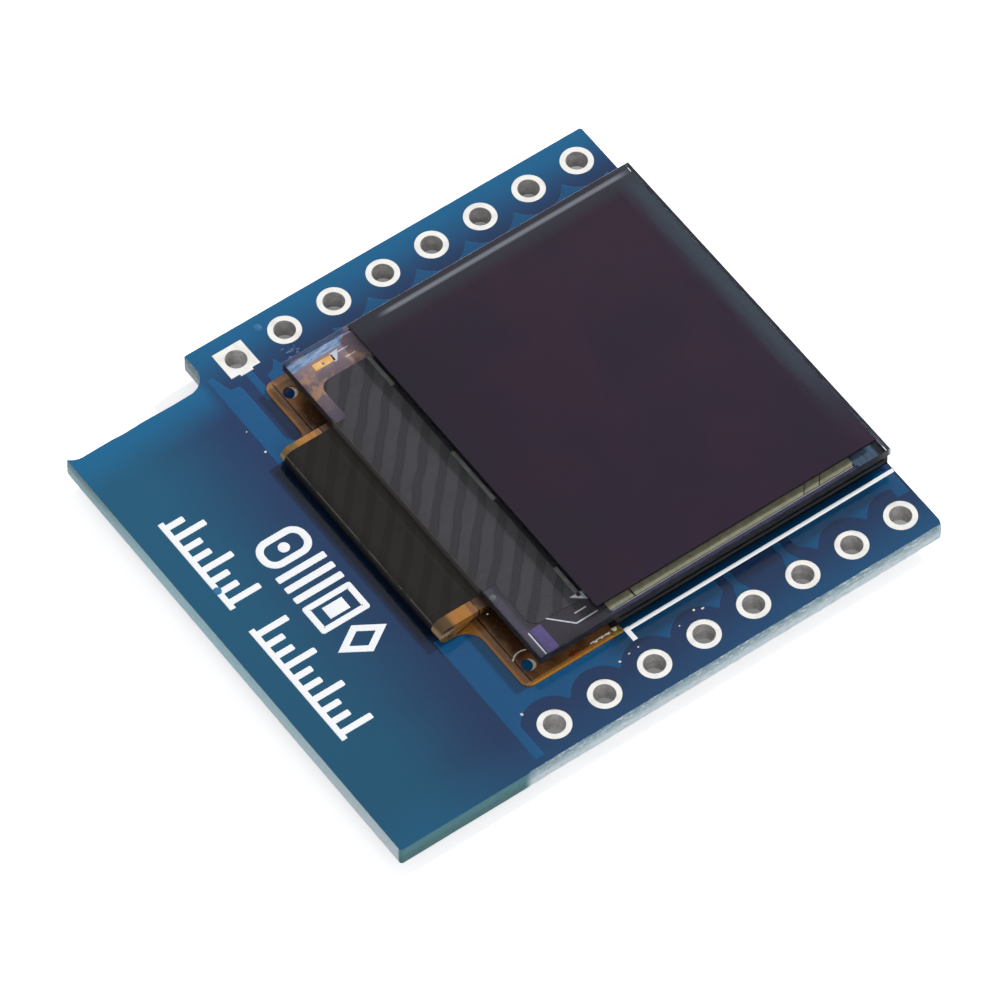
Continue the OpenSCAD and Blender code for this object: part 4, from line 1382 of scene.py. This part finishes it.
def tail_residue():
    """The flux left on the tail: white domes along its edge and round a hole, whose white also paints the
    glints there, and two stained patches.
    """
    build = Builder()
    # The white domes are flux, and their white also stands for glints.
    build.dome(-0.42, -9.1, TAIL_TOP - 0.01, 0.13, 0.13)
    for number in range(9):
        x = -1.62 + 0.11 * number
        y = -9.13 + 0.04 * wobble(number, 0, 0, 0.8)
        build.dome(x, y, TAIL_TOP - 0.01, 0.05 + 0.03 * (number % 3), 0.06, 0.6)
    for number, (x, y) in enumerate(arc(-4.25, -8.35, 0.62, 140, 62)):
        build.dome(x, y, TAIL_TOP - 0.008, 0.032 + 0.018 * (number % 2), 0.03)
    build.dome(-4.33, -5.6, TAIL_TOP + 0.3, 0.05, 0.03)
    build.finish("tail_glints", [FLUX_AND_GLINTS], "solder")

    build = Builder()
    build.relief(block(-0.62, -9.4, -0.18, -9.02, 0.1), TAIL_TOP, 0.02, 0.05)
    build.finish("amber_flux_patch", [OLIVE], "solder")

    build = Builder()
    build.dome(-2.45, -9.14, TAIL_TOP - 0.01, 0.34, 0.03, 0.42)
    build.finish("burnt_flux_patch", [RUSSET], "solder")


def locator_glints():
    """A white crescent in each locating hole, a painted glint on the hole's edge."""
    build = Builder()
    for y in LOCATOR_YS:
        hole = disc(LOCATOR_X, y, LOCATOR_R - 0.01, 40)
        build.relief(hole - disc(LOCATOR_X - 0.13, y + 0.08, LOCATOR_R, 40), FACE + COPPER_H, 0.01, 0.003)
    build.finish("glints_in_locating_holes", [FLUX_AND_GLINTS], "solder_mask_board")


def flux_haze():
    """A thin haze of dried flux between the pads of the +Y row and the panel."""
    build = Builder()
    for number in range(22):
        x = -2.9 + 0.55 * wobble(number, 0, 0, 0.77) + 0.35 * wobble(number, 5, 0, 1.3)
        y = 10.4 + 0.5 * wobble(0, number, 0, 0.83)
        build.dome(x, y, FACE - 0.004, 0.03 + 0.03 * (number % 3), 0.009, 0.45)
    build.finish("flux_haze", [HAZE], "solder_mask_board")


# ---------------------------------------------------------------- carried CAD pieces

def paint_carried():
    """Materials for the CAD pieces that keep their own shape."""
    carried = {
        "edge_seal": SEAL_DARK, "desiccant_sheet": DESICCANT, "emissive_layer": EMISSIVE, "bond_film": BOND,
        "driver_chip": SILICON, "chip_resin": RESIN, "sticky_pad": FOAM,
    }
    for name, material in carried.items():
        mesh = frame["nodes"][name].data
        mesh.materials.clear()
        mesh.materials.append(material)


# ---------------------------------------------------------------- camera, floor and light

CAMERA_TURN = math.radians(-35.533)
CAMERA_RISE = math.radians(54.835)
CAMERA_ROLL = math.radians(-0.334)
CAMERA_AWAY = 396.94
CAMERA_TARGET = Vector((-0.379, -1.015, 1.84))
CAMERA_LENS = 343.2
FLOOR_R = 2500.0
OPEN_GLOW = 0.64
# UNDER_GLOW and UNDER_SHIFT shape the painted shadow under the board: its glow, and how far it is moved
# towards +X and +Y.
UNDER_GLOW = 0.2
UNDER_SHIFT = 0.6
LIT_WORLD = 0.4
SEEN_WORLD = 1.0


def camera():
    """The camera, given by its turn, rise and roll about its target."""
    level = math.cos(CAMERA_RISE)
    back = Vector((math.sin(CAMERA_TURN) * level, -math.cos(CAMERA_TURN) * level, math.sin(CAMERA_RISE)))
    right = Vector((math.cos(CAMERA_TURN), math.sin(CAMERA_TURN), 0))
    up = back.cross(right)
    data = bpy.data.cameras.new("camera")
    data.lens = CAMERA_LENS
    data.sensor_width = 36.0
    data.clip_start = 0.01
    data.clip_end = 20.0
    made = bpy.data.objects.new("camera", data)
    turn = np.eye(4)
    turn[:3, 0] = right * math.cos(CAMERA_ROLL) + up * math.sin(CAMERA_ROLL)
    turn[:3, 1] = up * math.cos(CAMERA_ROLL) - right * math.sin(CAMERA_ROLL)
    turn[:3, 2] = back
    turn[:3, 3] = (CAMERA_TARGET + back * CAMERA_AWAY) * MM
    made.matrix_world = Matrix(turn.tolist())
    bpy.context.scene.collection.objects.link(made)
    bpy.context.scene.camera = made


def seen_directly(tree):
    """One for camera, mirror and see-through rays, and nought for the light that falls on things."""
    path = tree.nodes.new("ShaderNodeLightPath")
    total = path.outputs["Is Camera Ray"]
    for other in ("Is Glossy Ray", "Is Transmission Ray"):
        join = tree.nodes.new("ShaderNodeMath")
        join.operation = "MAXIMUM"
        tree.links.new(total, join.inputs[0])
        tree.links.new(path.outputs[other], join.inputs[1])
        total = join.outputs[0]
    return total


def past_sides(value, low, high):
    """How far a coordinate is past the ends of a span, less than nought inside it."""
    return abs(value - ((low + high) / 2 + UNDER_SHIFT)) - (high - low) / 2


def floor():
    """A pale floor, with a grey patch under the board painted as its shadow. Its own glow keeps the rest of
    it white in the picture.
    """
    finish = Finish("pale_floor")
    # Painted shadow: a grey patch under the board, moved towards +X and +Y.
    along = past_sides(finish.x, PIN_X[0] - 0.8, BOARD_HIGH[0])
    across = past_sides(finish.y, BOARD_LOW[1], BOARD_HIGH[1])
    outside_painted_shadow = finish.calc("MAXIMUM", along, across).step(-0.35, 0.1)
    diffuse = finish.node("BsdfDiffuse", {"Color": outside_painted_shadow * 0.6 + 0.2})
    share = outside_painted_shadow * (OPEN_GLOW - UNDER_GLOW) + UNDER_GLOW
    glow = finish.node("Emission", {"Strength": share * seen_directly(finish.tree)})
    both = finish.node("AddShader", {0: diffuse.outputs[0], 1: glow.outputs[0]})
    finish.feed(finish.output.inputs["Surface"], both.outputs[0])
    finish.tree.nodes.remove(finish.shader)
    mesh = bpy.data.meshes.new("floor")
    mesh.from_pydata([(x * MM, y * MM, 0) for x, y in circle(0, 0, FLOOR_R)], [], [tuple(range(64))])
    mesh.materials.append(finish.material)
    made = bpy.data.objects.new("floor", mesh)
    bpy.context.scene.collection.objects.link(made)


def world():
    """A pale world: white to look at, and dimmer as light."""
    made = bpy.data.worlds.new("pale_room")
    made.use_nodes = True
    bpy.context.scene.world = made
    tree = made.node_tree
    background = tree.nodes["Background"]
    background.inputs["Color"].default_value = (1, 1, 1, 1)
    strength = tree.nodes.new("ShaderNodeMapRange")
    strength.inputs["To Min"].default_value = LIT_WORLD
    strength.inputs["To Max"].default_value = SEEN_WORLD
    tree.links.new(seen_directly(tree), strength.inputs["Value"])
    tree.links.new(strength.outputs[0], background.inputs["Strength"])


def sun(name, direction, strength, spread):
    """A lamp far away that mirrors and glass don't show. The direction is the way its light travels."""
    data = bpy.data.lights.new(name, "SUN")
    data.energy = strength
    data.angle = math.radians(spread)
    made = bpy.data.objects.new(name, data)
    made.rotation_mode = "QUATERNION"
    made.rotation_quaternion = Vector(direction).to_track_quat("-Z", "Y")
    made.visible_glossy = False
    made.visible_transmission = False
    bpy.context.scene.collection.objects.link(made)


# ---------------------------------------------------------------- the whole

camera()
floor()
world()
sun("key", (-1.05, -0.12, -1.0), 2.1, 4.0)
sun("fill", (0.3, 1.0, -0.8), 0.7, 40.0)
printed_board()
copper()
top_legend()
bottom_legend()
plated_holes()
folded_circuit()
tail_joints()
front_glass()
polarizer()
rear_cap()
ledge_dark_layer()
rim_fields()
low_side_strips()
ledge_marks()
contacts()
chip_parts()
part_solder()
address_pads()
board_specks()
tail_residue()
locator_glints()
flux_haze()
paint_carried()

bpy.context.scene.view_settings.view_transform = "Standard"
